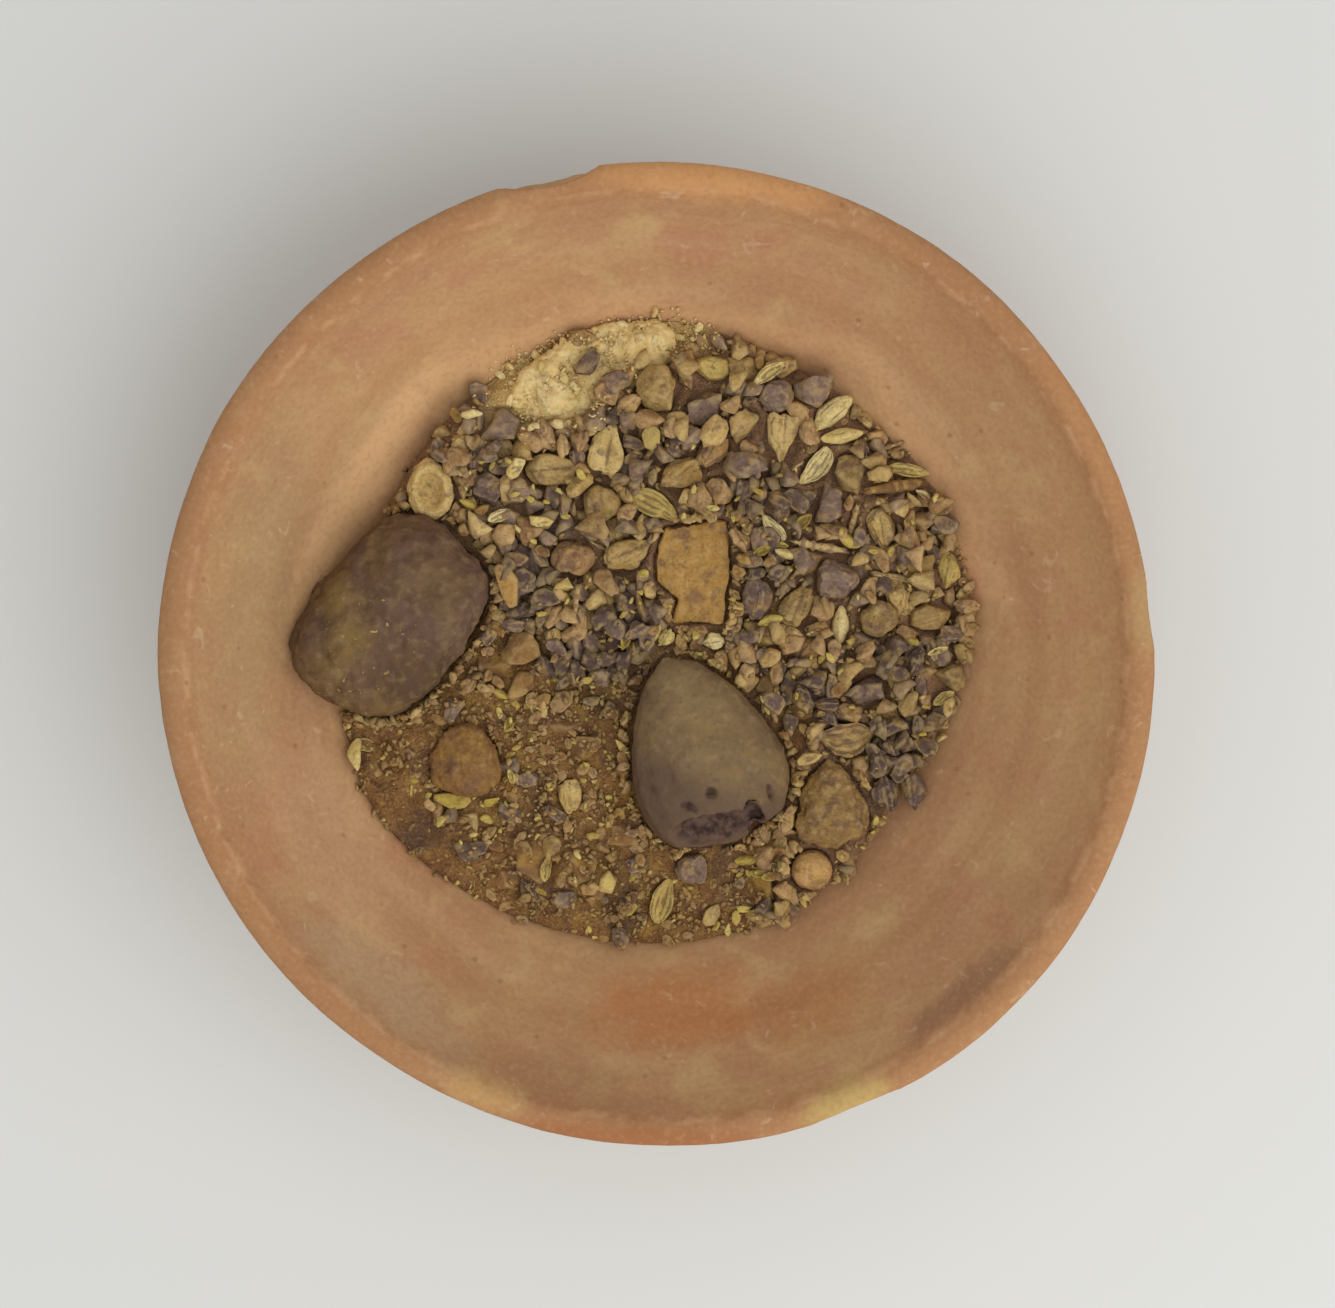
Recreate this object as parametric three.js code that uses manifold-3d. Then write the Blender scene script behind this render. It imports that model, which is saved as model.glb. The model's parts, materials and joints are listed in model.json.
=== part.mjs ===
// An earthenware dish on a flat foot, holding a heap of dried seeds, husks and fruit.
// Millimetres, +Z up. The origin is the middle of the foot's underside.
import * as THREE from "three";
import { mergeVertices } from "three/addons/utils/BufferGeometryUtils.js";
import Module from "manifold-3d";

const wasm = await Module();
wasm.setup();

// Dish
const RIM_DIAMETER = 160;
const DISH_HEIGHT = 42;
const FOOT_DIAMETER = 62;
const FOOT_HEIGHT = 2.2;
const FOOT_BEVEL = 0.8;
const HEEL_WALL = 8; // clay above the edge of the foot
const RIM_WALL = 5; // clay just under the lip
const LIP_WIDTH = 4.8;
const LIP_CROWN = 1.8; // rise of the rounded lip above its outer edge
const BOWL_CURVE = 2.7; // 2 is a parabola, more has a flatter middle and a steeper rim

// Unevenness of hand throwing, all of it near the rim
const EVEN_SHARE = 0.78; // share of the rim radius inside which the bowl is true
const OVAL = 0.7;
const OVAL_TURN = -33;
const THREE_LOBED = 0.4;
const LOBE_TURN = -54;
const RIM_WAVE = 0.5;

// Chips in the lip: angle, half length along the rim, depth inwards, half height
const CHIPS = [
  { angle: 104, along: 10.5, depth: 2.1, tall: 5 },
  { angle: 6, along: 8.5, depth: 0.9, tall: 3.6 },
  { angle: -67, along: 7.5, depth: 0.6, tall: 3.8 },
];

// Heap of crumbs
const HEAP_SHARE = 0.64375; // share of the rim's radius that the heap covers
const HEAP_X = -1;
const HEAP_Y = 1.5;
const HEAP_EDGE = 1; // thickness at the rim of the heap
const HEAP_CROWN = 3; // rise of the middle above the edge
const HEAP_OUTLINE = [1.04, 1.03, 0.98, 1.02, 0.97, 0.94, 0.98, 1.05, 1.01, 1, 1.01, 0.96];

// Seating of every piece
const SEAT_GAP = 0.3;
const SUNK = 0.28; // share of a large piece's thickness below the surface of the heap

// Loose seeds and clods of crumbs on the heap's top, on a grid of triangles
const LOOSE_SPACING = 4.6;
const LOOSE_STRAY = 0.3; // share of the spacing by which one may lie off the grid
const LOOSE_SMALLEST = 0.8;
const LOOSE_LARGEST = 1.25;
const LOOSE_REACH = 0.92; // share of the heap's radius that they cover
const LOOSE_OVERLAP = 0.72; // share of its half length by which one may reach into a small piece
const SEEDS_ABOVE = 0.02; // share of the radius above which there are seeds
const SEEDS_RIGHT = 0.42; // share of the radius to the right of which there are seeds
const SEEDS_STRAY = 0.08; // share of the radius by which that border wavers
const CLOD_CHANCE = 0.35;

// Sizes of the loose pieces
const KERNEL = { long: 8.4, wide: 5.6, thick: 3.2 };
const BERRY = { long: 6.4, wide: 6.2, thick: 4 };
const CHUNK = { long: 7.2, wide: 6, thick: 3.4 };
const HUSK = { long: 7.6, wide: 3.6, thick: 2.4 };
const FLAKE = { long: 6.6, wide: 4.2, thick: 2.2 };
const BIT = { long: 4.2, wide: 3.2, thick: 2.4 };
const STRAW = { long: 9, wide: 1.8, thick: 2 };
const SHELL = { long: 10.8, wide: 7.8, thick: 4 };
const FRUIT_LEFT = { long: 34.5, wide: 25.5, thick: 17, sunk: SUNK };
const FRUIT_CENTRE = { long: 33.5, wide: 25.5, thick: 17, sunk: SUNK };
const BROKEN_LUMP = { long: 15, wide: 12.4, thick: 8.5, sunk: SUNK };
const CRUMB_LUMP = { long: 12.2, wide: 11, thick: 6.5, sunk: SUNK };
const ROUND_BERRY = { long: 7, wide: 6.8, thick: 6.5, sunk: SUNK };
const BARK_CHIP = { long: 17, wide: 12.6, thick: 2.4, sunk: SUNK };
const MEAL_PATCH = { long: 29, wide: 12.5, thick: 3.4, sunk: 0.5 };
const LOOSE_SEED = { long: 6.2, wide: 4.8, thick: 3.4, sunk: 0.25 };
const LOOSE_CLOD = { long: 7.6, wide: 6.6, thick: 2.8, sunk: 0.4 };

// Facets
const ROUND_STEPS = 60;
const BOWL_STEPS = 11;
const WALL_STEPS = 7;
const HEAP_SECTORS = 40;
const HEAP_RINGS = 6;

const RIM_RADIUS = RIM_DIAMETER / 2;
const FOOT_RADIUS = FOOT_DIAMETER / 2;
const INNER_RADIUS = RIM_RADIUS - LIP_WIDTH;
const HEAP_RADIUS = HEAP_SHARE * RIM_RADIUS;
const UP = new THREE.Vector3(0, 0, 1);
const radians = THREE.MathUtils.degToRad;

// The lip is an arc of an ellipse from the inner edge over the crown to the outer edge.
const LIP_START = 150;
const LIP_END = -20;
const LIP_STEPS = 5;

function lipPoint(degrees) {
  const a = radians(degrees);
  const half = LIP_WIDTH / 2;
  const out = RIM_RADIUS - half + half * Math.cos(a);
  return new THREE.Vector2(out, DISH_HEIGHT - LIP_CROWN + LIP_CROWN * Math.sin(a));
}

// Inside of the bowl, from the floor to the inner edge of the lip
const LIP_EDGE = lipPoint(LIP_START);
const FLOOR = floorHeight();

function floorHeight() {
  const share = Math.pow(FOOT_RADIUS / LIP_EDGE.x, BOWL_CURVE);
  return (FOOT_HEIGHT + HEEL_WALL - LIP_EDGE.y * share) / (1 - share);
}

function bowlHeight(r) {
  return FLOOR + (LIP_EDGE.y - FLOOR) * Math.pow(r / LIP_EDGE.x, BOWL_CURVE);
}

function bowlSlope(r) {
  const rise = (LIP_EDGE.y - FLOOR) * BOWL_CURVE / LIP_EDGE.x;
  return rise * Math.pow(r / LIP_EDGE.x, BOWL_CURVE - 1);
}

// The bowl's curve, raised by a clearance measured square to the surface
function bowlPoints(clearance) {
  const points = [];
  for (let i = 0; i <= BOWL_STEPS; i++) {
    const r = LIP_EDGE.x * i / BOWL_STEPS;
    points.push(new THREE.Vector2(r, bowlHeight(r) + clearance * Math.hypot(1, bowlSlope(r))));
  }
  return points;
}

// The outside of the wall, thinning from the heel to the lip
function wallPoint(share) {
  const r = THREE.MathUtils.lerp(FOOT_RADIUS, INNER_RADIUS, share);
  const wall = THREE.MathUtils.lerp(HEEL_WALL, RIM_WALL, share);
  const lean = Math.atan(bowlSlope(r));
  return new THREE.Vector2(r + wall * Math.sin(lean), bowlHeight(r) - wall * Math.cos(lean));
}

function uneven(geometry) {
  const p = geometry.attributes.position;
  for (let i = 0; i < p.count; i++) {
    const x = p.getX(i);
    const y = p.getY(i);
    const r = Math.hypot(x, y);
    const share = THREE.MathUtils.smoothstep(r, EVEN_SHARE * RIM_RADIUS, RIM_RADIUS);
    if (share === 0) continue;
    const a = Math.atan2(y, x);
    const oval = OVAL * Math.cos(2 * (a - radians(OVAL_TURN)));
    const lobes = THREE_LOBED * Math.cos(3 * (a - radians(LOBE_TURN)));
    const grow = 1 + share * (oval + lobes) / r;
    p.setXYZ(i, x * grow, y * grow, p.getZ(i) + share * RIM_WAVE * Math.sin(2 * a));
  }
  return geometry;
}

function turned(points) {
  return new THREE.LatheGeometry(points, ROUND_STEPS).rotateX(Math.PI / 2);
}

// Solids that can be joined and cut
function solidOf(geometry) {
  const bare = geometry.clone();
  bare.deleteAttribute("normal");
  bare.deleteAttribute("uv");
  const merged = mergeVertices(bare, 1e-3);
  return new wasm.Manifold(new wasm.Mesh({
    numProp: 3,
    vertProperties: merged.attributes.position.array,
    triVerts: new Uint32Array(merged.index.array),
  }));
}

function meshOf(name, solid, at, material) {
  const made = solid.getMesh();
  const geometry = new THREE.BufferGeometry();
  geometry.setAttribute("position", new THREE.BufferAttribute(new Float32Array(made.vertProperties), 3));
  geometry.setIndex(new THREE.BufferAttribute(new Uint32Array(made.triVerts), 1));
  geometry.translate(-at.x, -at.y, -at.z);
  geometry.computeVertexNormals();
  const mesh = new THREE.Mesh(geometry, material);
  mesh.name = name;
  mesh.position.copy(at);
  return mesh;
}

// Shapes of the pieces: long in X, wide in Y, thick in Z, round the origin
function ball(detail) {
  return (long, wide, thick) => new THREE.IcosahedronGeometry(0.5, detail).scale(long, wide, thick);
}

// A ball with rounded swellings, a share of its size high. A power of 2 is round, and more is squarer.
function lump(detail, swelling, power = 2) {
  return (long, wide, thick) => {
    const geometry = new THREE.IcosahedronGeometry(0.5, detail);
    const p = geometry.attributes.position;
    for (let i = 0; i < p.count; i++) {
      const v = new THREE.Vector3().fromBufferAttribute(p, i);
      const wave = Math.sin(7 * v.x + 1) * Math.cos(6 * v.y) + Math.sin(8 * v.z + 5 * v.y);
      const reach = v.toArray().reduce((sum, c) => sum + Math.pow(Math.abs(2 * c), power), 0);
      v.multiplyScalar(Math.pow(reach, -1 / power) * (1 + swelling * wave / 2));
      p.setXYZ(i, v.x * long, v.y * wide, v.z * thick);
    }
    return geometry;
  };
}

// A drop: widest at a share of its length from the blunt end, and pointed at the +X end.
// A fullness of 0.5 has round ends, and more has sharper ones.
function drop(widest, fullness, sectors, rings) {
  const bulge = Math.log(0.5) / Math.log(widest);
  return (long, wide, thick) => {
    const points = [];
    for (let i = 0; i <= rings; i++) {
      const share = i / rings;
      const swell = Math.sin(Math.PI * Math.pow(share, bulge));
      const half = i === 0 || i === rings ? 0 : wide / 2 * Math.pow(swell, fullness);
      points.push(new THREE.Vector2(half, long * (share - 0.5)));
    }
    const round = new THREE.LatheGeometry(points, sectors);
    return round.rotateZ(-Math.PI / 2).scale(1, 1, thick / wide);
  };
}

// A bent stick of five sides
function stick(long, wide, thick) {
  const sides = 5;
  const bow = 0.06 * long;
  const end = long / 2;
  const path = new THREE.QuadraticBezierCurve3(
    new THREE.Vector3(-end, 0, 0),
    new THREE.Vector3(0, bow, 0),
    new THREE.Vector3(end, 0, 0),
  );
  const section = new THREE.Shape();
  for (let i = 0; i < sides; i++) {
    const a = 2 * Math.PI * i / sides;
    section[i ? "lineTo" : "moveTo"](thick / 2 * Math.cos(a), wide / 2 * Math.sin(a));
  }
  return new THREE.ExtrudeGeometry(section, { steps: 4, bevelEnabled: false, extrudePath: path });
}

// A flat chip with one straight side and a notch in the other, as shares of its width and length
const CHIP_OUTLINE = [
  [-0.36, 0.44], [0.42, 0.5], [0.48, 0.12], [0.4, -0.5], [-0.24, -0.47],
  [-0.2, -0.25], [-0.48, -0.08], [-0.5, 0.12],
];

function chip(long, wide, thick) {
  const outline = CHIP_OUTLINE.map(([across, along]) => new THREE.Vector2(across * wide, along * long));
  const flat = new THREE.ExtrudeGeometry(new THREE.Shape(outline), { depth: thick, bevelEnabled: false });
  return flat.translate(0, 0, -thick / 2).rotateZ(-Math.PI / 2);
}

const SHAPES = new Map([
  [KERNEL, drop(0.42, 0.66, 8, 6)],
  [BERRY, ball(1)],
  [CHUNK, lump(1, 0.16)],
  [HUSK, drop(0.45, 0.72, 8, 5)],
  [FLAKE, drop(0.45, 0.6, 8, 5)],
  [BIT, lump(1, 0.16)],
  [STRAW, stick],
  [SHELL, drop(0.45, 0.6, 9, 6)],
  [FRUIT_LEFT, lump(3, 0.07, 2.6)],
  [FRUIT_CENTRE, drop(0.34, 0.6, 16, 11)],
  [BROKEN_LUMP, drop(0.3, 0.6, 9, 7)],
  [CRUMB_LUMP, lump(2, 0.1)],
  [ROUND_BERRY, ball(2)],
  [BARK_CHIP, chip],
  [MEAL_PATCH, lump(2, 0.05)],
  [LOOSE_SEED, lump(0, 0.2)],
  [LOOSE_CLOD, lump(0, 0.2)],
]);

// Broken openings, cut by a ball: its middle and size as shares of the piece's own sizes
const HOLLOWS = new Map([
  [FRUIT_CENTRE, { at: [-0.42, 0.12, 0.32], size: [0.36, 0.74, 0.5] }],
  [SHELL, { at: [-0.02, 0, 0.42], size: [0.66, 0.62, 0.9] }],
]);

// Colours
const TONES = {
  clay: [0xb9835a, 0.9],
  crumbs: [0x6b4f2c, 0.95],
  meal: [0xa58a55, 0.95],
  dark_fruit: [0x59463a, 0.8],
  grey_fruit: [0x6f6048, 0.75],
  tan_fruit: [0x86683f, 0.85],
  bark: [0x96703c, 0.85],
  orange_berry: [0xb98d58, 0.7],
  dark_seed: [0x4a403a, 0.75],
  olive_seed: [0x6d5f3c, 0.75],
  brown_seed: [0x6f5334, 0.75],
  tan_seed: [0x9a7d4a, 0.75],
  pale_husk: [0xc4ab74, 0.8],
  straw: [0xa98a55, 0.85],
};

function materialOf(tone) {
  const [color, roughness] = TONES[tone];
  return new THREE.MeshStandardMaterial({ name: tone, color, roughness, metalness: 0 });
}

// Where each piece lies: shares of the heap's radius right and up from the heap's middle.
// A piece gives way to those above it in the list.
const PIECES = [
  { name: "fruit_left", size: FRUIT_LEFT, at: [-0.825, 0.08], turn: 50, tone: "dark_fruit" },
  { name: "fruit_centre", size: FRUIT_CENTRE, at: [0.155, -0.345], turn: 111, tone: "grey_fruit" },
  { name: "bark_chip", size: BARK_CHIP, at: [0.135, 0.22], turn: 90, tone: "bark" },
  { name: "broken_lump", size: BROKEN_LUMP, at: [0.58, -0.53], turn: 95, tone: "tan_fruit" },
  { name: "round_berry", size: ROUND_BERRY, at: [0.52, -0.75], turn: 0, tone: "orange_berry" },
  { name: "crumb_lump", size: CRUMB_LUMP, at: [-0.59, -0.39], turn: 70, tone: "crumbs" },
  { name: "meal_patch", size: MEAL_PATCH, at: [-0.18, 0.865], turn: 24, tone: "meal" },
  { name: "tan_shell", size: SHELL, at: [-0.7, 0.49], turn: 95, tone: "tan_seed" },
  { name: "pale_husk_centre", size: HUSK, scale: 1.18, at: [0.01, 0.44], turn: -28, tone: "pale_husk" },
  { name: "tan_kernel_top", size: KERNEL, scale: 1.08, at: [-0.14, 0.61], turn: 80, tone: "tan_seed" },
  { name: "ochre_kernel", size: KERNEL, at: [-0.075, 0.28], turn: 25, tone: "tan_seed" },
  { name: "dark_berry_left", size: BERRY, scale: 0.9, at: [-0.51, 0.49], turn: 0, tone: "dark_seed" },
  { name: "dark_chunk_left", size: CHUNK, at: [-0.48, 0.69], turn: 0, tone: "dark_seed" },
  { name: "flat_kernel", size: KERNEL, at: [-0.32, 0.55], turn: 5, tone: "olive_seed" },
  { name: "olive_berry_top", size: BERRY, at: [-0.16, 0.445], turn: 20, tone: "olive_seed" },
  { name: "brown_berry", size: BERRY, scale: 1.06, at: [-0.25, 0.27], turn: 40, tone: "brown_seed" },
  { name: "cream_bit", size: BIT, scale: 0.9, at: [0.05, 0.01], turn: 60, tone: "pale_husk" },
  { name: "white_bit", size: BIT, at: [0.2, 0], turn: 10, tone: "pale_husk" },
  { name: "olive_berry_crown", size: BERRY, scale: 1.22, at: [0.02, 0.81], turn: 0, tone: "olive_seed" },
  { name: "yellow_flake", size: FLAKE, at: [0.2, 0.87], turn: -15, tone: "pale_husk" },
  { name: "dark_chunk_crown", size: CHUNK, at: [0.17, 0.74], turn: 70, tone: "dark_seed" },
  { name: "dark_berry_crown", size: BERRY, scale: 0.9, at: [0.4, 0.78], turn: 0, tone: "dark_seed" },
  { name: "pale_husk_crown", size: HUSK, scale: 1.06, at: [0.58, 0.73], turn: 40, tone: "pale_husk" },
  { name: "dark_chunk_rim", size: CHUNK, scale: 1.05, at: [0.52, 0.81], turn: -10, tone: "dark_seed" },
  { name: "tan_stick", size: STRAW, scale: 0.9, at: [0.62, 0.65], turn: 12, tone: "straw" },
  { name: "pale_husk_right", size: HUSK, at: [0.53, 0.555], turn: 50, tone: "pale_husk" },
  { name: "grey_chunk_right", size: CHUNK, at: [0.64, 0.53], turn: 90, tone: "olive_seed" },
  { name: "olive_kernel_right", size: KERNEL, at: [0.42, 0.65], turn: 85, tone: "olive_seed" },
  { name: "olive_chunk", size: CHUNK, scale: 0.9, at: [0.3, 0.69], turn: 30, tone: "olive_seed" },
  { name: "pink_kernel", size: KERNEL, scale: 0.84, at: [0.2, 0.61], turn: 60, tone: "brown_seed" },
  { name: "tan_long_kernel", size: KERNEL, at: [0.1, 0.54], turn: 35, tone: "tan_seed" },
  { name: "round_seed", size: BERRY, scale: 0.74, at: [0.22, 0.48], turn: 0, tone: "brown_seed" },
  { name: "orange_straw", size: STRAW, scale: 0.62, at: [0.84, 0.56], turn: -8, tone: "straw" },
  { name: "bark_strip", size: STRAW, scale: 1.25, at: [0.78, 0.49], turn: 10, tone: "bark" },
  { name: "short_straw", size: STRAW, scale: 0.76, at: [0.65, 0.38], turn: 75, tone: "straw" },
  { name: "grey_kernel", size: KERNEL, scale: 0.84, at: [0.74, 0.36], turn: 100, tone: "olive_seed" },
  { name: "purple_chunk", size: CHUNK, at: [0.56, 0.43], turn: 15, tone: "dark_seed" },
  { name: "cream_sliver", size: HUSK, scale: 0.74, at: [0.39, 0.36], turn: -50, tone: "pale_husk" },
  { name: "long_straw", size: STRAW, scale: 1.2, at: [0.54, 0.3], turn: -10, tone: "straw" },
  { name: "grey_berry", size: BERRY, scale: 1.16, at: [0.59, 0.2], turn: 30, tone: "dark_seed" },
  { name: "pale_kernel_rim", size: KERNEL, scale: 0.74, at: [0.97, 0.22], turn: 80, tone: "pale_husk" },
  { name: "fibre_twig", size: STRAW, scale: 0.84, at: [0.77, 0.2], turn: -12, tone: "straw" },
  { name: "olive_kernel_mid", size: KERNEL, scale: 0.9, at: [0.46, 0.11], turn: 70, tone: "olive_seed" },
  { name: "dark_seed_mid", size: KERNEL, scale: 0.92, at: [0.34, 0.14], turn: 82, tone: "dark_seed" },
  { name: "pale_husk_mid", size: HUSK, scale: 0.84, at: [0.61, 0.05], turn: 88, tone: "pale_husk" },
  { name: "olive_berry_right", size: BERRY, at: [0.73, 0.07], turn: 0, tone: "olive_seed" },
  { name: "tan_flake_right", size: FLAKE, scale: 1.16, at: [0.9, 0.07], turn: 10, tone: "tan_seed" },
  { name: "tan_husk", size: KERNEL, scale: 1.06, at: [0.63, -0.32], turn: 5, tone: "tan_seed" },
  { name: "dark_seed_low", size: KERNEL, scale: 0.84, at: [0.755, -0.5], turn: 105, tone: "dark_seed" },
  { name: "dark_seed_rim", size: KERNEL, scale: 0.8, at: [0.86, -0.5], turn: 95, tone: "dark_seed" },
  { name: "grey_chunk_mid", size: CHUNK, at: [0.7, -0.16], turn: 50, tone: "dark_seed" },
  { name: "grey_chunk_rim", size: CHUNK, scale: 0.82, at: [0.97, -0.13], turn: 0, tone: "olive_seed" },
  { name: "ochre_crumb", size: CHUNK, at: [-0.42, -0.02], turn: 20, tone: "crumbs" },
  { name: "pale_husk_left", size: HUSK, scale: 0.72, at: [-0.96, -0.37], turn: 85, tone: "pale_husk" },
  { name: "pale_sliver_low", size: HUSK, scale: 1.06, at: [0.035, -0.85], turn: 75, tone: "pale_husk" },
  { name: "pale_lump_low", size: KERNEL, scale: 0.72, at: [-0.26, -0.5], turn: 90, tone: "tan_seed" },
  { name: "dark_berry_low", size: BERRY, scale: 0.84, at: [0.13, -0.74], turn: 0, tone: "dark_seed" },
];

// Top of the heap
const outlineCurve = new THREE.CatmullRomCurve3(
  HEAP_OUTLINE.map((share, i) => {
    const a = 2 * Math.PI * i / HEAP_OUTLINE.length;
    return new THREE.Vector3(share * Math.cos(a), share * Math.sin(a), 0);
  }),
  true,
);

function edgeHeight(x, y) {
  return bowlHeight(Math.hypot(x, y)) + HEAP_EDGE;
}

const HEAP_LEVEL = edgeHeight(HEAP_RADIUS, 0) + HEAP_CROWN;

function heapTop(x, y) {
  const dx = x - HEAP_X;
  const dy = y - HEAP_Y;
  const share = Math.hypot(dx, dy) / HEAP_RADIUS;
  if (share >= 1) return edgeHeight(x, y);
  const reach = share > 0 ? 1 / share : 0;
  const edge = edgeHeight(HEAP_X + dx * reach, HEAP_Y + dy * reach);
  return THREE.MathUtils.lerp(HEAP_LEVEL, edge, share * share);
}

function heapUnderside(x, y) {
  const r = Math.hypot(x, y);
  return bowlHeight(r) + SEAT_GAP * Math.hypot(1, bowlSlope(r));
}

// The heap: rings of points over its top, out to its edge, and the same rings under it
function heapSolid() {
  const positions = [];
  const faces = [];
  for (const height of [heapTop, heapUnderside]) {
    positions.push(HEAP_X, HEAP_Y, height(HEAP_X, HEAP_Y));
    for (let ring = 1; ring <= HEAP_RINGS; ring++) {
      for (let i = 0; i < HEAP_SECTORS; i++) {
        const edge = outlineCurve.getPoint(i / HEAP_SECTORS);
        const x = HEAP_X + HEAP_RADIUS * edge.x * ring / HEAP_RINGS;
        const y = HEAP_Y + HEAP_RADIUS * edge.y * ring / HEAP_RINGS;
        positions.push(x, y, height(x, y));
      }
    }
  }
  const under = 1 + HEAP_RINGS * HEAP_SECTORS;
  const at = (ring, i) => 1 + (ring - 1) * HEAP_SECTORS + i % HEAP_SECTORS;
  const quad = (a, b, c, d) => faces.push(a, b, c, a, c, d);
  for (let i = 0; i < HEAP_SECTORS; i++) {
    faces.push(0, at(1, i), at(1, i + 1));
    faces.push(under, under + at(1, i + 1), under + at(1, i));
    for (let ring = 1; ring < HEAP_RINGS; ring++) {
      const square = [at(ring, i), at(ring + 1, i), at(ring + 1, i + 1), at(ring, i + 1)];
      quad(...square);
      quad(...square.map((point) => under + point).reverse());
    }
    const rim = [at(HEAP_RINGS, i), at(HEAP_RINGS, i + 1)];
    quad(rim[0], under + rim[0], under + rim[1], rim[1]);
  }
  const geometry = new THREE.BufferGeometry();
  geometry.setAttribute("position", new THREE.Float32BufferAttribute(positions, 3));
  geometry.setIndex(faces);
  return solidOf(geometry);
}

// Dish
function dishSolid() {
  const points = [new THREE.Vector2(0, 0), new THREE.Vector2(FOOT_RADIUS - FOOT_BEVEL, 0)];
  points.push(new THREE.Vector2(FOOT_RADIUS, FOOT_BEVEL));
  for (let i = 0; i <= WALL_STEPS; i++) points.push(wallPoint(i / WALL_STEPS));
  for (let i = LIP_STEPS; i > 0; i--) {
    points.push(lipPoint(THREE.MathUtils.lerp(LIP_START, LIP_END, i / LIP_STEPS)));
  }
  points.push(...bowlPoints(0).reverse());
  let dish = solidOf(uneven(turned(points)));
  for (const { angle, along, depth, tall } of CHIPS) {
    const cutter = new THREE.IcosahedronGeometry(1, 3).scale(2 * depth, along, tall);
    cutter.translate(RIM_RADIUS + depth, 0, DISH_HEIGHT - LIP_CROWN).rotateZ(radians(angle));
    dish = dish.subtract(solidOf(cutter));
  }
  return dish;
}

// The room inside the dish, clear of its surface by the seat gap and open above
function roomSolid() {
  const points = bowlPoints(SEAT_GAP);
  points.push(new THREE.Vector2(LIP_EDGE.x, 2 * DISH_HEIGHT), new THREE.Vector2(0, 2 * DISH_HEIGHT));
  return solidOf(uneven(turned(points)));
}

// How a piece lies on the heap
function spotOf(piece, thick) {
  const x = HEAP_X + HEAP_RADIUS * piece.at[0];
  const y = HEAP_Y + HEAP_RADIUS * piece.at[1];
  const span = piece.size.wide / 2;
  const across = heapTop(x - span, y) - heapTop(x + span, y);
  const along = heapTop(x, y - span) - heapTop(x, y + span);
  const tip = new THREE.Vector3(across, along, 2 * span).normalize();
  const lie = new THREE.Quaternion().setFromUnitVectors(UP, tip);
  lie.multiply(new THREE.Quaternion().setFromAxisAngle(UP, radians(piece.turn)));
  const rise = piece.size.sunk === undefined ? thick / 2 + SEAT_GAP : (0.5 - piece.size.sunk) * thick;
  const at = new THREE.Vector3(x, y, heapTop(x, y)).addScaledVector(tip, rise);
  return new THREE.Matrix4().compose(at, lie, new THREE.Vector3(1, 1, 1));
}

function pieceSolids(piece) {
  const scale = piece.scale ?? 1;
  const sizes = [piece.size.long * scale, piece.size.wide * scale, piece.size.thick * scale];
  const make = SHAPES.get(piece.size);
  const spot = spotOf(piece, sizes[2]);
  let body = solidOf(make(...sizes).applyMatrix4(spot));
  const hollow = HOLLOWS.get(piece.size);
  if (hollow) {
    const cutter = ball(2)(...hollow.size.map((share, i) => share * sizes[i]));
    cutter.translate(...hollow.at.map((share, i) => share * sizes[i]));
    body = body.subtract(solidOf(cutter.applyMatrix4(spot)));
  }
  const grown = solidOf(make(...sizes.map((size) => size + 2 * SEAT_GAP)).applyMatrix4(spot));
  return { body, grown, at: new THREE.Vector3().setFromMatrixPosition(spot) };
}

// A number from 0 to 1 that looks random, for each place on the grid and each use
function chance(row, column, use) {
  const wave = 43758.5453 * Math.sin(12.9898 * row + 78.233 * column + 37.719 * use);
  return wave - Math.floor(wave);
}

function loosePiece(row, column) {
  const stray = (use) => 2 * chance(row, column, use) - 1;
  const right = LOOSE_SPACING * (column + row % 2 / 2 + LOOSE_STRAY * stray(1)) / HEAP_RADIUS;
  const up = LOOSE_SPACING * (row * Math.sqrt(0.75) + LOOSE_STRAY * stray(2)) / HEAP_RADIUS;
  const border = SEEDS_STRAY * stray(3);
  const size = up > SEEDS_ABOVE + border || right > SEEDS_RIGHT + border ? LOOSE_SEED : LOOSE_CLOD;
  const scale = THREE.MathUtils.lerp(LOOSE_SMALLEST, LOOSE_LARGEST, chance(row, column, 4));
  return { size, scale, at: [right, up], turn: 360 * chance(row, column, 5) };
}

// A loose piece lies clear of a large piece, and may reach a little way into a small one.
function liesClear(loose, piece) {
  const scale = piece.scale ?? 1;
  const share = piece.size.sunk === undefined ? 1 - LOOSE_OVERLAP : 1;
  const margin = share * loose.size.long * loose.scale / 2;
  const a = radians(piece.turn);
  const dx = HEAP_RADIUS * (loose.at[0] - piece.at[0]);
  const dy = HEAP_RADIUS * (loose.at[1] - piece.at[1]);
  const along = (dx * Math.cos(a) + dy * Math.sin(a)) / (piece.size.long * scale / 2 + margin);
  const across = (dy * Math.cos(a) - dx * Math.sin(a)) / (piece.size.wide * scale / 2 + margin);
  return Math.pow(along, 4) + Math.pow(across, 4) > 1;
}

function loosePieces() {
  const found = [];
  const rows = Math.ceil(HEAP_RADIUS / LOOSE_SPACING / Math.sqrt(0.75));
  for (let row = -rows; row <= rows; row++) {
    for (let column = -rows; column <= rows; column++) {
      const loose = loosePiece(row, column);
      if (Math.hypot(...loose.at) > LOOSE_REACH) continue;
      if (loose.size === LOOSE_CLOD && chance(row, column, 6) > CLOD_CHANCE) continue;
      if (PIECES.every((piece) => liesClear(loose, piece))) found.push(loose);
    }
  }
  return found;
}

// A piece that a neighbour cuts in two keeps its larger half.
function largest(solid) {
  return solid.decompose().reduce((most, next) => (next.volume() > most.volume() ? next : most));
}

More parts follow.
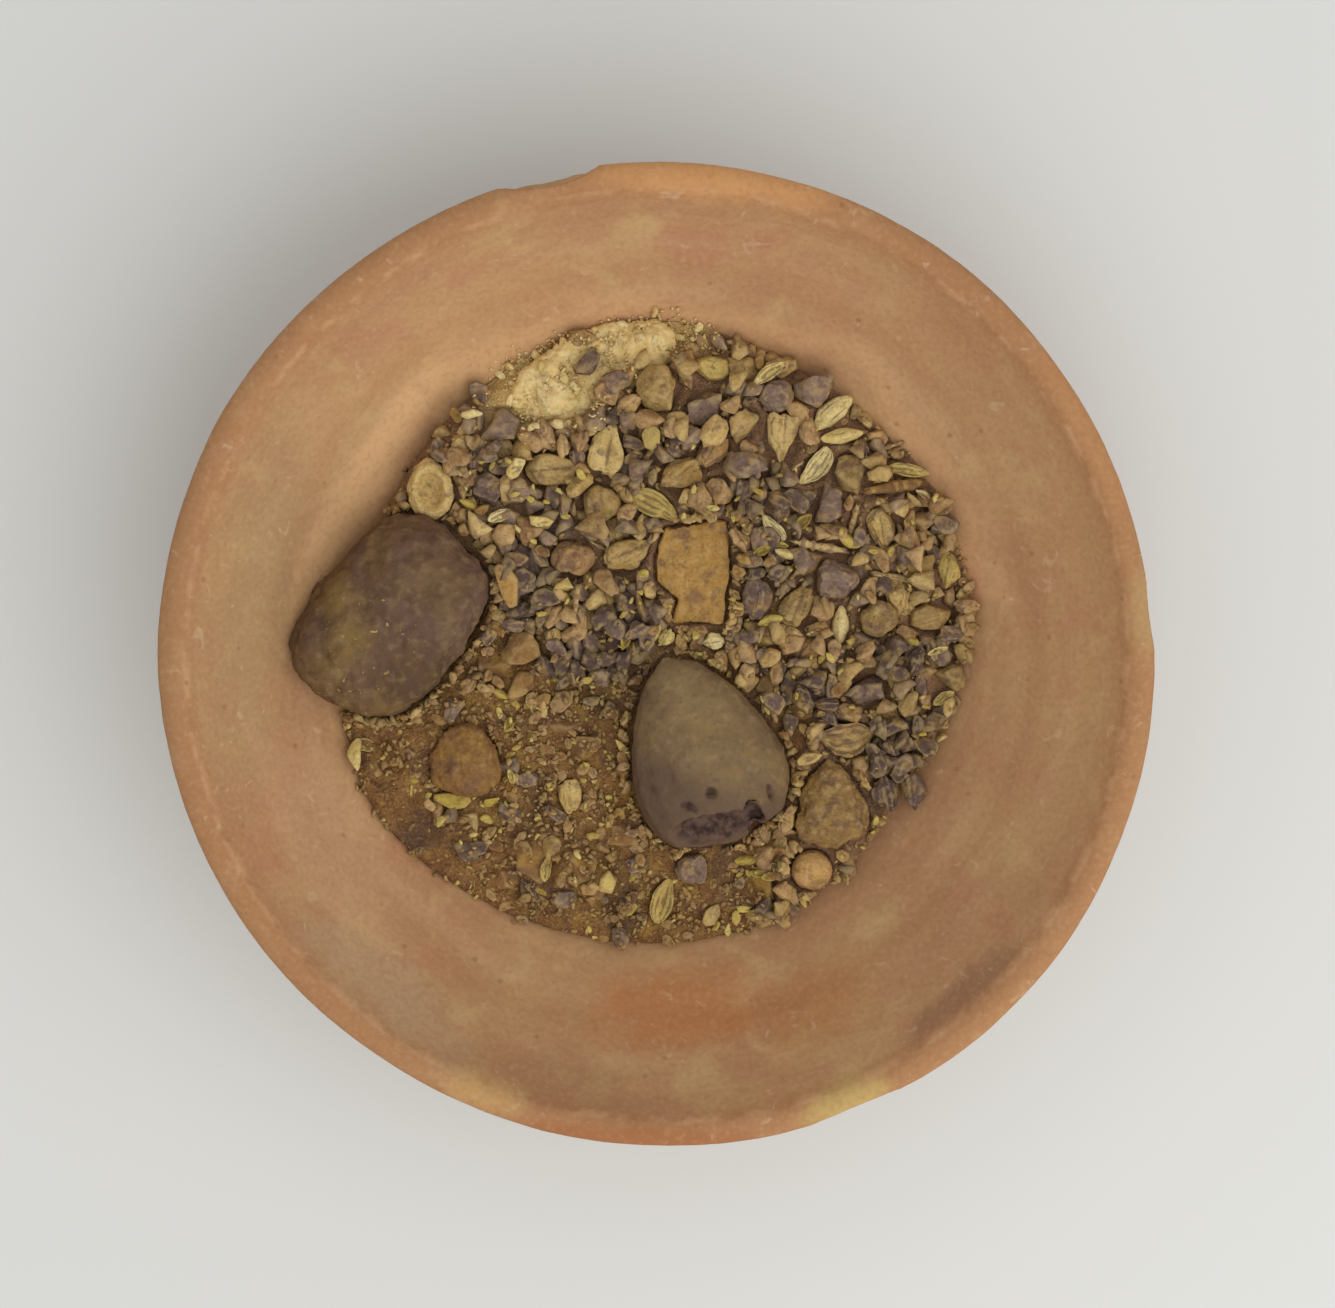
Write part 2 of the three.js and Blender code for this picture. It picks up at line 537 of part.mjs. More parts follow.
function mayTouch(a, b) {
  const p = a.boundingBox();
  const q = b.boundingBox();
  return [0, 1, 2].every((i) => p.min[i] <= q.max[i] && q.min[i] <= p.max[i]);
}

// Assembly
const assembly = new THREE.Group();
assembly.name = "dish_with_food";
assembly.add(meshOf("dish", dishSolid(), new THREE.Vector3(), materialOf("clay")));

const contents = new THREE.Group();
contents.name = "contents";
assembly.add(contents);

const room = roomSolid();
const laid = [];
let bed = heapSolid();
for (const loose of loosePieces()) bed = bed.add(pieceSolids(loose).body);
for (const piece of PIECES) {
  const { body, grown, at } = pieceSolids(piece);
  let cut = body.intersect(room);
  for (const earlier of laid) {
    if (mayTouch(cut, earlier)) cut = cut.subtract(earlier);
  }
  laid.push(grown);
  bed = bed.subtract(grown);
  contents.add(meshOf(piece.name, largest(cut), at, materialOf(piece.tone)));
}
const bedPlace = new THREE.Vector3(HEAP_X, HEAP_Y, FLOOR);
contents.add(meshOf("crumb_bed", largest(bed), bedPlace, materialOf("crumbs")));

export default assembly;
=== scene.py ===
import itertools
import json
import math

import bmesh
import bpy
import numpy as np
from mathutils import Matrix, Vector
from mathutils.bvhtree import BVHTree


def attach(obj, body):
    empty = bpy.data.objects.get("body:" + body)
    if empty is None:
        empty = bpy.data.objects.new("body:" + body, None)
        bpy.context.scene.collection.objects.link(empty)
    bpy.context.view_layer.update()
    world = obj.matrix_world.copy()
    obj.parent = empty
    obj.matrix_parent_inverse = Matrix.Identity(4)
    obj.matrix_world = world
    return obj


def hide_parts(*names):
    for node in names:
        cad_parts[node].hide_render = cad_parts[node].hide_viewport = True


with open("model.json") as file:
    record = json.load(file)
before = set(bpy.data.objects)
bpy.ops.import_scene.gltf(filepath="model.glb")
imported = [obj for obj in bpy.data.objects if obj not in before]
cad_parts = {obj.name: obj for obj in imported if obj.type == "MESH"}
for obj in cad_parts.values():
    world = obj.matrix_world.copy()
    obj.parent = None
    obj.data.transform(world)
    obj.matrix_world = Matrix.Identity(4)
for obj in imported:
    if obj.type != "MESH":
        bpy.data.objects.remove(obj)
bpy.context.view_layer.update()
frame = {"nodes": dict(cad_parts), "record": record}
NODES = frame["nodes"]
BODY_OF = {node: body for body, nodes in frame["record"]["behaviour"]["bodies"].items() for node in nodes}
SLOT_OF = {part["node"]: part["material_slot"] for part in frame["record"]["subparts"]}
LIFTED = [node for node, body in BODY_OF.items() if body not in ("dish", "contents")]
MM = 0.001

# Dish, as in the CAD
RIM_RADIUS = 80
DISH_HEIGHT = 42
FOOT_RADIUS = 31
FOOT_HEIGHT = 2.2
FOOT_BEVEL = 0.8
HEEL_WALL = 8
RIM_WALL = 5
LIP_WIDTH = 4.8
LIP_CROWN = 1.8
LIP_START = 150
LIP_END = -20
BOWL_CURVE = 2.7
EVEN_SHARE = 0.78
OVAL = 0.7
OVAL_TURN = -33
THREE_LOBED = 0.4
LOBE_TURN = -54
RIM_WAVE = 0.5

# Chips in the lip: angle, half length along the rim, depth inwards, half height, deepening to one end
CHIPS = [
    (104, 10.5, 2.1, 5, 0.4),
    (6, 8.5, 0.9, 3.6, 0),
    (-67, 7.5, 0.1, 3.8, 0.2),
]

# Marks left by throwing on the wheel: pitch, depths, and the radii between which they come and go
WHEEL_PITCH = 6.5
WHEEL_DEPTH_INSIDE = 0.05
WHEEL_DEPTH_OUTSIDE = 0.2
WHEEL_START = (20, 40)
WHEEL_STOP = (74, 78)

# Rings of points on each stretch of the dish's outline, points on a ring, and the innermost ring's radius
FOOT_RINGS = 16
OUTSIDE_RINGS = 62
LIP_RINGS = 22
BOWL_RINGS = 96
RING_POINTS = 360
HUB_RADIUS = 0.5

# Low swellings of the dish's skin, on the foot and elsewhere
FOOT_SWELL = 0.04
SKIN_SWELL = 0.22

# Colour of the lip: how far it runs into the bowl, where it starts outside, and where its edge's wear and
# painted highlight end
LIP_TONE_INSIDE = 2.4
LIP_TONE_OUTSIDE = (36.5, 40)
LIP_WEAR_AND_HIGHLIGHT = (0.3, 1.1)

# Heap, as in the CAD
HEAP_RADIUS = 51.5
HEAP_X = -1
HEAP_Y = 1.5
HEAP_EDGE = 1
HEAP_CROWN = 3

# Loose seeds and clods on the heap's top, as in the CAD: sizes long, wide and thick
LOOSE_SPACING = 4.6
LOOSE_STRAY = 0.3
LOOSE_SMALLEST = 0.8
LOOSE_LARGEST = 1.25
LOOSE_REACH = 0.92
SEEDS_ABOVE = 0.02
SEEDS_RIGHT = 0.42
SEEDS_STRAY = 0.08
LOOSE_SEED = (6.2, 4.8, 3.4)
LOOSE_CLOD = (7.6, 6.6, 2.8)

# The finished bed of crumbs: fineness, and its rise above the CAD bed round crumbs and round seeds
BED_VOXEL = 0.55
BED_RAISE_CRUMBS = 0.4
BED_RAISE_SEEDS = 0.8

# Thinning at its upper edge: share of the radius where it starts, amount, and where up the heap it sets in
BED_THIN_FROM = 0.9
BED_THIN_BY = 0.9
BED_THIN_NONE = -0.5
BED_THIN_FULL = 0.1

# Camera: height above the rim, lean from the vertical towards the upper left, and width seen at the rim
CAMERA_HEIGHT = 650
CAMERA_LEAN = 6.5
CAMERA_SIDE = 110
FIELD_WIDTH = 214.6
SENSOR = 36
AIM_X = 1.05
AIM_Y = 1.3

# Studio: the floor's half width and colour, the lamp's place, width and watts, the strength of the even light
FLOOR_HALF = 3000
FLOOR_TONE = (216, 216, 212)
LAMP_AT = (350, -360, 560)
LAMP_WIDTH = 1200
LAMP_WATTS = 3.9
SKY_STRENGTH = 0.72


# Numbers
HASH = np.array([374761393, 668265263, 1440662683])
HASH_SEED = 1013904223
HASH_MIX = 1274126177
LOW_BITS = 0xFFFFFFFF


def smoothstep(low, high, x):
    t = np.clip((x - low) / (high - low), 0, 1)
    return t * t * (3 - 2 * t)


def turned(x, y, a):
    """The same distances, measured along and across a direction at the angle a."""
    return x * math.cos(a) + y * math.sin(a), y * math.cos(a) - x * math.sin(a)


def noise(points, size, seed=0):
    """Smooth noise from -1 to 1 at each point, with features of that size."""
    p = np.asarray(points, float) / size
    cell = np.floor(p).astype(np.int64)
    part = p - cell
    part = part * part * part * (part * (part * 6 - 15) + 10)
    total = np.zeros(len(p))
    for corner in itertools.product((0, 1), repeat=3):
        h = ((cell + corner) @ HASH + seed * HASH_SEED) & LOW_BITS
        h = ((h ^ (h >> 13)) * HASH_MIX) & LOW_BITS
        h ^= h >> 16
        weight = np.prod(np.where(corner, part, 1 - part), axis=1)
        total += weight * (h / (LOW_BITS >> 1) - 1)
    return total


def rough(points, size, seed=0, layers=3):
    """Noise with finer noise added to it."""
    total = np.zeros(len(points))
    for i in range(layers):
        total += noise(points, size / 2**i, seed + i) / 1.8**i
    return total


def folds(points, size, seed=0):
    """Sharp creases between rounded swellings, from -1 in a crease to 0."""
    return np.abs(rough(points, size, seed, 2)) ** 0.7 - 1


# Meshes
def normals_of(points, faces):
    a, b, c = points[faces[:, 0]], points[faces[:, 1]], points[faces[:, 2]]
    n = np.cross(b - a, c - a)
    total = np.zeros_like(points)
    for i in range(3):
        np.add.at(total, faces[:, i], n)
    return total / np.maximum(np.linalg.norm(total, axis=1, keepdims=True), 1e-12)


def relief(points, faces):
    """How far each point stands out from its neighbours, or lies in a crease, as a share of their spacing."""
    ends = np.concatenate([faces[:, [0, 1]], faces[:, [1, 2]], faces[:, [2, 0]]])
    total = np.zeros_like(points)
    count = np.zeros(len(points))
    np.add.at(total, ends[:, 0], points[ends[:, 1]])
    np.add.at(count, ends[:, 0], 1)
    out = ((points - total / count[:, None]) * normals_of(points, faces)).sum(1)
    spacing = np.linalg.norm(points[ends[:, 0]] - points[ends[:, 1]], axis=1).mean()
    return out / spacing


def make_mesh(name, points, faces, marks):
    mesh = bpy.data.meshes.new(name)
    mesh.vertices.add(len(points))
    mesh.vertices.foreach_set("co", (np.asarray(points) * MM).astype(np.float32).ravel())
    mesh.loops.add(faces.size)
    mesh.loops.foreach_set("vertex_index", faces.astype(np.int32).ravel())
    mesh.polygons.add(len(faces))
    mesh.polygons.foreach_set("loop_start", np.arange(0, faces.size, 3, dtype=np.int32))
    mesh.update(calc_edges=True)
    mesh.shade_smooth()
    for mark, values in marks.items():
        layer = mesh.attributes.new(mark, "FLOAT", "POINT")
        layer.data.foreach_set("value", np.asarray(values, np.float32))
    return mesh


def new_object(name, data):
    """A new object in the scene."""
    made = bpy.data.objects.new(name, data)
    bpy.context.scene.collection.objects.link(made)
    return made


def add_piece(name, points, faces, material, body, nodes, marks):
    """One piece from points in mm. It rides on a body and stands for the CAD nodes named."""
    piece = new_object(name, make_mesh(name, points, faces, marks))
    piece.data.materials.append(material)
    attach(piece, body)
    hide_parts(*nodes)


def add_fine(node, points, faces, marks, material=None):
    """The finished form of one CAD node, in the paint of its slot if no other is given."""
    slot = SLOT_OF[node]
    add_piece(node + "_fine", points, faces, material or PAINTS[slot], BODY_OF[node], [node], marks)


def mesh_arrays(mesh):
    """Points and triangles of a mesh, in its own units."""
    mesh.calc_loop_triangles()
    points = np.empty(len(mesh.vertices) * 3, np.float32)
    mesh.vertices.foreach_get("co", points)
    faces = np.empty(len(mesh.loop_triangles) * 3, np.int32)
    mesh.loop_triangles.foreach_get("vertices", faces)
    return points.reshape(-1, 3).astype(float), faces.reshape(-1, 3)


def cad_mesh(node):
    """Points in mm and triangles of a CAD node."""
    points, faces = mesh_arrays(NODES[node].data)
    return points / MM, faces


def fine_mesh(node, voxel, rounds, ceiling=None):
    """A finer and smoother copy of a CAD node, in mm, pressed down under a ceiling if one is given."""
    mesh = NODES[node].data.copy()
    mesh.transform(Matrix.Scale(1 / MM, 4))
    work = bmesh.new()
    work.from_mesh(mesh)
    bmesh.ops.remove_doubles(work, verts=work.verts, dist=1e-3)
    if ceiling:
        for v in work.verts:
            v.co.z = min(v.co.z, ceiling(v.co.x, v.co.y))
    corners = np.array([v.co for v in work.verts])
    work.to_mesh(mesh)
    work.free()
    copy = new_object("working_copy", mesh)
    remesh = copy.modifiers.new("finer", "REMESH")
    remesh.mode = "VOXEL"
    remesh.voxel_size = voxel
    smooth = copy.modifiers.new("smoother", "SMOOTH")
    smooth.iterations = rounds
    copy.modifiers.new("triangles", "TRIANGULATE")
    points, faces = mesh_arrays(copy.evaluated_get(bpy.context.evaluated_depsgraph_get()).to_mesh())
    bpy.data.objects.remove(copy)
    bpy.data.meshes.remove(mesh)
    low, high = corners.min(0), corners.max(0)
    return low + (high - low) * (points - points.min(0)) / np.ptp(points, axis=0), faces


def tube(rings):
    """A skin over rings of points, shut at both ends."""
    n, k, _ = rings.shape
    i, j = [g.ravel() for g in np.meshgrid(np.arange(n - 1), np.arange(k), indexing="ij")]
    square = [i * k + j, i * k + (j + 1) % k, (i + 1) * k + (j + 1) % k, (i + 1) * k + j]
    faces = [np.stack([square[0], square[2], square[1]], -1), np.stack([square[0], square[3], square[2]], -1)]
    points = np.concatenate([rings.reshape(-1, 3), [rings[0].mean(0), rings[-1].mean(0)]])
    j = np.arange(k)
    faces.append(np.stack([np.full(k, n * k), j, (j + 1) % k], -1))
    faces.append(np.stack([np.full(k, n * k + 1), (n - 1) * k + (j + 1) % k, (n - 1) * k + j], -1))
    return points, np.concatenate(faces)


def hull_depth(points):
    """How far each point lies inside the convex hull of them all."""
    work = bmesh.new()
    for p in points:
        work.verts.new(p)
    bmesh.ops.convex_hull(work, input=work.verts)
    tree = BVHTree.FromBMesh(work)
    work.free()
    return np.array([tree.find_nearest(Vector(p))[3] for p in points])


# Materials
FAR = 1e3  # a size so large that height makes no difference in plan


def colour(r, g, b):
    """A colour given from 0 to 255, as the shader wants it."""
    c = np.array([r, g, b]) / 255
    linear = np.where(c <= 0.04045, c / 12.92, ((c + 0.055) / 1.055) ** 2.4)
    return (*linear, 1)


class Paint:
    """The nodes of one procedural material. Sizes are in mm."""

    def __init__(self, name, roughness, specular):
        self.material = bpy.data.materials.new(name)
        self.material.use_nodes = True
        self.tree = self.material.node_tree
        self.shader = self.tree.nodes["Principled BSDF"]
        self.shader.inputs["Roughness"].default_value = roughness
        self.shader.inputs["Specular IOR Level"].default_value = specular
        self.place = self.node("ShaderNodeTexCoord").outputs["Object"]

    def node(self, kind, inputs=None, **settings):
        """A new node with these settings, and with values or sockets for its inputs."""
        made = self.tree.nodes.new(kind)
        for key, value in settings.items():
            setattr(made, key, value)
        for key, value in (inputs or {}).items():
            self.feed(made.inputs[key], value)
        return made

    def feed(self, socket, value):
        if isinstance(value, bpy.types.NodeSocket):
            self.tree.links.new(value, socket)
        else:
            socket.default_value = value

    def math(self, operation, a, b):
        return self.node("ShaderNodeMath", {0: a, 1: b}, operation=operation).outputs[0]

    def times(self, a, b):
        return self.math("MULTIPLY", a, b)

    def swing(self, value, by):
        """Noise made to run to both sides of 0."""
        return self.times(self.math("SUBTRACT", value, 0.5), by)

    def noise(self, size, detail, distortion=0, stretch=(1, 1, 1)):
        scale = [1 / (MM * size * s) for s in stretch]
        place = self.node("ShaderNodeMapping", {"Vector": self.place, "Scale": scale}).outputs[0]
        inputs = {"Vector": place, "Scale": 1, "Detail": detail, "Distortion": distortion}
        return self.node("ShaderNodeTexNoise", inputs).outputs["Fac"]

    def spots(self, size):
        """Distance to the nearest of many scattered points, as a share of their spacing."""
        inputs = {"Vector": self.place, "Scale": 1 / (MM * size)}
        return self.node("ShaderNodeTexVoronoi", inputs).outputs["Distance"]

    def rings(self, size):
        """Noise that changes with the distance from the axis, a little unevenly."""
        out = self.math("ADD", self.near(0, 0, size, size, 0), self.noise(26, 2))
        inputs = {"W": out, "Scale": 1, "Detail": 4}
        return self.node("ShaderNodeTexNoise", inputs, noise_dimensions="1D").outputs["Fac"]

    def mark(self, name):
        return self.node("ShaderNodeAttribute", attribute_name=name).outputs["Fac"]

    def step(self, value, low, high):
        """0 below low and 1 above high, or the other way round if low is the larger."""
        inputs = {
            "Value": value,
            "From Min": min(low, high),
            "From Max": max(low, high),
            "To Min": int(low > high),
            "To Max": int(low < high),
        }
        return self.node("ShaderNodeMapRange", inputs, interpolation_type="SMOOTHSTEP").outputs[0]

    def cloud(self, low, high, size, detail, distortion=0):
        """Patches of noise, 0 below low and 1 above high."""
        return self.step(self.noise(size, detail, distortion), low, high)

    def mix(self, share, a, b):
        return self.node("ShaderNodeMix", {0: share, 6: a, 7: b}, data_type="RGBA").outputs[2]

    def two_tone(self, low, high, share):
        return self.mix(share, colour(*low), colour(*high))

    def coat(self, tone, share, strength=1):
        """Lays a colour over those before it."""
        if strength != 1:
            share = self.times(share, strength)
        self.base = self.mix(share, self.base, colour(*tone))

    def patches(self, purple, yellow, broad=1):
        """Purple-grey and olive-yellow patches that run on from one piece to the next."""
        self.coat((92, 69, 64), self.cloud(0.5, 0.64, 2.7 * broad, 5, 0.6), purple)
        self.coat((166, 129, 58), self.cloud(0.52, 0.66, 3.5 * broad, 5, 0.6), yellow)

    def ramp(self, value, tones):
        made = self.node("ShaderNodeValToRGB", {0: value})
        stops = made.color_ramp.elements
        for i, tone in enumerate(tones):
            at = i / (len(tones) - 1)
            stop = stops[i] if i < 2 else stops.new(at)
            stop.position = at
            stop.color = colour(*tone)
        return made.outputs[0]

    def near(self, x, y, along, across, turn):
        """Distance in plan from a point, as a share of an oval's half sizes."""
        inputs = {
            "Vector": self.place,
            "Location": (x * MM, y * MM, 0),
            "Rotation": (0, 0, math.radians(turn)),
            "Scale": (along * MM, across * MM, FAR),
        }
        place = self.node("ShaderNodeMapping", inputs, vector_type="TEXTURE").outputs[0]
        return self.node("ShaderNodeVectorMath", {0: place}, operation="LENGTH").outputs["Value"]

    def bump(self, height, depth):
        """Fine relief on top of what is there."""
        made = self.node("ShaderNodeBump", {"Height": height, "Distance": depth * MM})
        normal = self.shader.inputs["Normal"]
        if normal.is_linked:
            self.feed(made.inputs["Normal"], normal.links[0].from_socket)
        self.feed(normal, made.outputs[0])

    def done(self):
        self.feed(self.shader.inputs["Base Color"], self.base)
        return self.material


# Discoloured areas of the dish, and pale painted light on the wall beside the heap and the left fruit: angle,
# distance from the axis, half sizes round and out, strength, colour
STAINS_AND_PAINTED_LIGHT = [
    (-87, 60, 17, 8, 0.6, (178, 114, 64)),
    (-67, 64, 15, 7, 0.5, (168, 110, 62)),
    (-45, 70, 28, 7, 0.15, (152, 112, 82)),
    (-105, 72, 24, 5, 0.5, (154, 112, 80)),
    (-130, 70, 20, 5, 0.55, (176, 150, 116)),
    (-150, 62, 24, 8, 0.45, (188, 146, 112)),
    (172, 66, 38, 9, 0.6, (162, 132, 92)),
    (118, 60, 26, 8, 0.35, (190, 146, 98)),
    # Painted light: the next five are pale patches on the wall just outside the heap and the left fruit,
    # against the shade these cast there
    (150, 55, 26, 5, 0.8, (212, 168, 120)),
    (174, 57, 16, 5, 0.8, (212, 168, 120)),
    (114, 54, 22, 4, 0.55, (206, 162, 114)),
    (80, 54, 30, 4, 0.5, (200, 154, 108)),
    (30, 54, 26, 4, 0.65, (202, 156, 112)),
    (60, 66, 30, 7, 0.3, (172, 122, 86)),
    (10, 68, 26, 8, 0.25, (182, 134, 94)),
    (-67, 78.5, 9, 4, 0.8, (188, 160, 98)),
    (-112, 76, 8, 4, 0.5, (196, 160, 100)),
    (175, 78, 44, 4, 0.4, (156, 116, 80)),
    (6, 79, 9, 4, 0.6, (178, 146, 100)),
    (84, 78, 34, 5, 0.8, (198, 144, 92)),
    (28, 78, 20, 4, 0.4, (184, 132, 86)),
    (-94, 79, 38, 4, 0.75, (156, 100, 62)),
    (-48, 74, 13, 2.4, 0.5, (122, 88, 70)),
]


def clay_paint():
    paint = Paint("terracotta", roughness=0.9, specular=0.22)
    paint.base = paint.two_tone((180, 140, 98), (173, 130, 92), paint.cloud(0.38, 0.62, 26, 3))
    paint.coat((186, 150, 104), paint.cloud(0.5, 0.72, 11, 5, 0.6))
    paint.coat((176, 127, 92), paint.cloud(0.56, 0.72, 15, 4))
    streak = paint.rings(4.5)
    patchy = paint.cloud(0.4, 0.6, 19, 3)
    paint.coat((198, 160, 122), paint.times(paint.step(streak, 0.52, 0.7), patchy), 0.22)
    paint.coat((158, 112, 76), paint.step(streak, 0.46, 0.3), 0.2)
    paint.coat((164, 117, 78), paint.times(paint.mark("lip"), paint.cloud(0.2, 0.5, 9, 4)), 0.8)
    wander = paint.swing(paint.noise(7, 4, 0.8), 1.1)
    # Stains, and patches of painted light beside the heap
    for angle, out, half_round, half_out, strength, tone in STAINS_AND_PAINTED_LIGHT:
        a = math.radians(angle)
        near = paint.near(out * math.cos(a), out * math.sin(a), half_out, half_round, angle)
        paint.coat(tone, paint.step(paint.math("ADD", near, wander), 1.15, 0.35), strength)
    # Pale inner edge of the lip: partly wear, partly a painted highlight
    paint.coat((204, 160, 118), paint.times(paint.mark("edge"), paint.cloud(0.42, 0.62, 5, 5)), 0.5)
    paint.coat((186, 142, 96), paint.mark("chip"), 0.75)
    paint.coat((206, 176, 142), paint.cloud(0.62, 0.74, 3.2, 6, 1.2), 0.4)
    grain = paint.noise(0.9, 3)
    paint.coat((140, 96, 64), paint.step(grain, 0.45, 0.75), 0.22)
    paint.coat((208, 168, 126), paint.step(grain, 0.5, 0.2), 0.2)
    paint.coat((116, 80, 54), paint.step(paint.spots(7), 0.09, 0.04), 0.35)
    paint.bump(paint.noise(2.4, 4), 0.14)
    paint.bump(grain, 0.05)
    return paint.done()


def seed_paint(name, tones, dust=0.35, dirt=0.28, patches=(0.5, 0.4), grain=(1, 1, 1)):
    """Seeds of one sort: each has its own tint, with blotches, dust, pale edges that are partly wear and
    partly painted highlight, painted shade in creases, and a rough skin.
    """
    paint = Paint(name, roughness=0.88, specular=0.18)
    tint = paint.math("ADD", paint.mark("tint"), paint.swing(paint.noise(2.4, 4, 0.4, grain), 1.1))
    tint = paint.math("ADD", tint, paint.swing(paint.noise(0.9, 4, 0.3, grain), 0.8))
    paint.base = paint.ramp(tint, tones)
    paint.patches(*patches)
    fine = paint.noise(0.45, 3, 0, grain)
    paint.coat((70, 50, 34), paint.step(fine, 0.52, 0.3), dirt)
    paint.coat((182, 156, 106), paint.cloud(0.5, 0.66, 1.3, 5), dust)
    relief_for_wear_and_painted_light = paint.mark("relief")
    # Paler where the skin stands out: partly worn edges, partly painted highlight
    paint.coat((204, 176, 118), paint.step(relief_for_wear_and_painted_light, 0.08, 0.3), 0.28)
    # Painted shade in creases
    paint.coat((86, 64, 56), paint.step(relief_for_wear_and_painted_light, -0.03, -0.18), 0.55)
    paint.bump(paint.noise(1.1, 4, 0, grain), 0.4)
    paint.bump(fine, 0.08)
    return paint.done()


def bed_paint():
    """Packed crumbs: under the seeds a paler purple-grey, painted light that lifts the shade in the gaps
    between them; pale where meal is spilt and dark where the heap is.
    """
    paint = Paint("packed_crumbs", roughness=0.95, specular=0.15)
    paint.base = paint.two_tone((120, 84, 50), (144, 106, 63), paint.cloud(0.36, 0.64, 2.6, 5))
    paint.patches(0.4, 0.55, 1.7)
    paint.coat((156, 122, 74), paint.cloud(0.5, 0.7, 0.55, 3))
    paint.coat((94, 64, 42), paint.cloud(0.54, 0.74, 0.7, 4))
    # Painted light: a paler purple-grey under the seeds, against the shade in the gaps between them
    paint.coat((150, 116, 90), paint.mark("seedy"), 0.7)
    meal = paint.two_tone((192, 158, 98), (222, 190, 126), paint.cloud(0.36, 0.66, 3, 5))
    paint.base = paint.mix(paint.mark("mealy"), paint.base, meal)
    paint.coat((84, 64, 53), paint.mark("shade"), 0.5)
    flecked = paint.cloud(0.45, 0.6, 9, 2)
    paint.coat((184, 162, 84), paint.times(paint.step(paint.spots(2.2), 0.2, 0.12), flecked))
    paint.bump(paint.noise(0.8, 4), 0.6)
    paint.bump(paint.noise(0.4, 3), 0.25)
    return paint.done()


def fruit_left_paint():
    """Dull skin, olive to the left and purple to the right, with dust in patches."""
    paint = Paint("dark_fruit_skin", roughness=0.9, specular=0.15)
    paint.base = paint.two_tone((105, 80, 61), (124, 99, 58), paint.cloud(0.4, 0.6, 8, 4, 0.3))
    side = paint.math("ADD", paint.near(-34, 10, 16, 22, 40), paint.times(paint.noise(5, 4), 0.9))
    paint.coat((98, 76, 65), paint.step(side, 1.5, 0.8), 0.5)
    paint.coat((80, 58, 47), paint.cloud(0.46, 0.68, 4, 5, 0.3), 0.6)
    paint.coat((84, 58, 46), paint.step(paint.near(-42, 4, 15, 17, 45), 0.75, 1.1), 0.45)
    paint.coat((72, 52, 42), paint.step(paint.near(-39, -4, 8, 6, 0), 1.3, 0.4), 0.6)
    paint.coat((142, 118, 82), paint.cloud(0.46, 0.72, 1.7, 6), 0.4)
    specked = paint.step(paint.near(-49, 1, 12, 9, 60), 1.3, 0.6)
    paint.coat((168, 146, 80), paint.times(paint.cloud(0.66, 0.72, 1, 3), specked))
    paint.bump(paint.noise(2.2, 5), 0.5)
    paint.bump(paint.noise(0.6, 4), 0.14)
    return paint.done()


def fruit_centre_paint():
    """Smooth greyish skin, dusky at the broad end, over dark torn pulp."""
    paint = Paint("grey_fruit_skin", roughness=0.8, specular=0.2)
    paint.base = paint.two_tone((118, 96, 66), (131, 109, 74), paint.cloud(0.36, 0.66, 6, 5, 0.3))
    paint.patches(0.25, 0.12)
    paint.coat((94, 74, 52), paint.cloud(0.56, 0.7, 0.9, 5), 0.4)
    paint.coat((150, 128, 90), paint.cloud(0.54, 0.7, 1.6, 5), 0.35)
    paint.coat((90, 69, 57), paint.mark("low"), 0.75)
    pulp = paint.two_tone((60, 44, 40), (100, 77, 64), paint.cloud(0.36, 0.64, 1.5, 5))
    paint.base = paint.mix(paint.mark("torn"), paint.base, pulp)
    paint.bump(paint.noise(1.8, 5), 0.25)
    paint.bump(paint.noise(0.5, 3), 0.06)
    return paint.done()


# Names of the paints of seeds
DARK = "dark_seed"
OLIVE = "olive_seed"
BROWN = "brown_seed"
TAN = "tan_seed"
HUSK = "pale_husk"
# Their colours from dark to pale
TONES = {
    "crumbs": [(112, 79, 45), (127, 91, 52), (137, 100, 58), (150, 114, 69)],
    "meal": [(194, 160, 98), (210, 178, 112), (222, 192, 126), (232, 208, 150)],
    "tan_fruit": [(108, 82, 48), (132, 102, 61), (146, 115, 70), (160, 130, 82)],
    "bark": [(138, 100, 53), (164, 124, 67), (174, 134, 75), (185, 148, 90)],
    "orange_berry": [(174, 130, 80), (188, 146, 92), (198, 157, 100), (206, 168, 112)],
    "dark_seed": [(82, 66, 59), (106, 86, 76), (122, 100, 87), (140, 116, 97)],
    "olive_seed": [(132, 106, 65), (158, 129, 79), (177, 147, 91), (198, 169, 111)],
    "brown_seed": [(126, 92, 62), (149, 113, 76), (166, 130, 88), (187, 151, 102)],
    "tan_seed": [(152, 121, 75), (174, 143, 88), (191, 160, 99), (208, 180, 118)],
    "pale_husk": [(180, 154, 86), (199, 174, 102), (213, 190, 122), (226, 207, 150)],
    "straw": [(156, 122, 74), (178, 144, 90), (192, 160, 104), (206, 178, 122)],
}
YELLOWS = [(158, 134, 58), (178, 154, 68), (196, 174, 86), (210, 192, 120)]
# How the skin of some differs from the others'
FINISH = {
    "crumbs": {"dust": 0.15, "dirt": 0.2, "patches": (0.4, 0.6, 1.7)},
    "meal": {"dust": 0.1, "dirt": 0.15, "patches": (0.12, 0.1)},
    "straw": {"dust": 0.1, "patches": (0.15, 0.2), "grain": (2, 2, 1)},
    HUSK: {"dust": 0.1, "dirt": 0.3, "patches": (0.15, 0.2)},
}
PAINTS = {name: seed_paint(name, tones, **FINISH.get(name, {})) for name, tones in TONES.items()}
PAINTS["yellow"] = seed_paint("yellow_flecks", YELLOWS, dust=0.1, dirt=0.2, patches=(0.1, 0.2))
PAINTS["clay"] = clay_paint()
PAINTS["dark_fruit"] = fruit_left_paint()
PAINTS["grey_fruit"] = fruit_centre_paint()


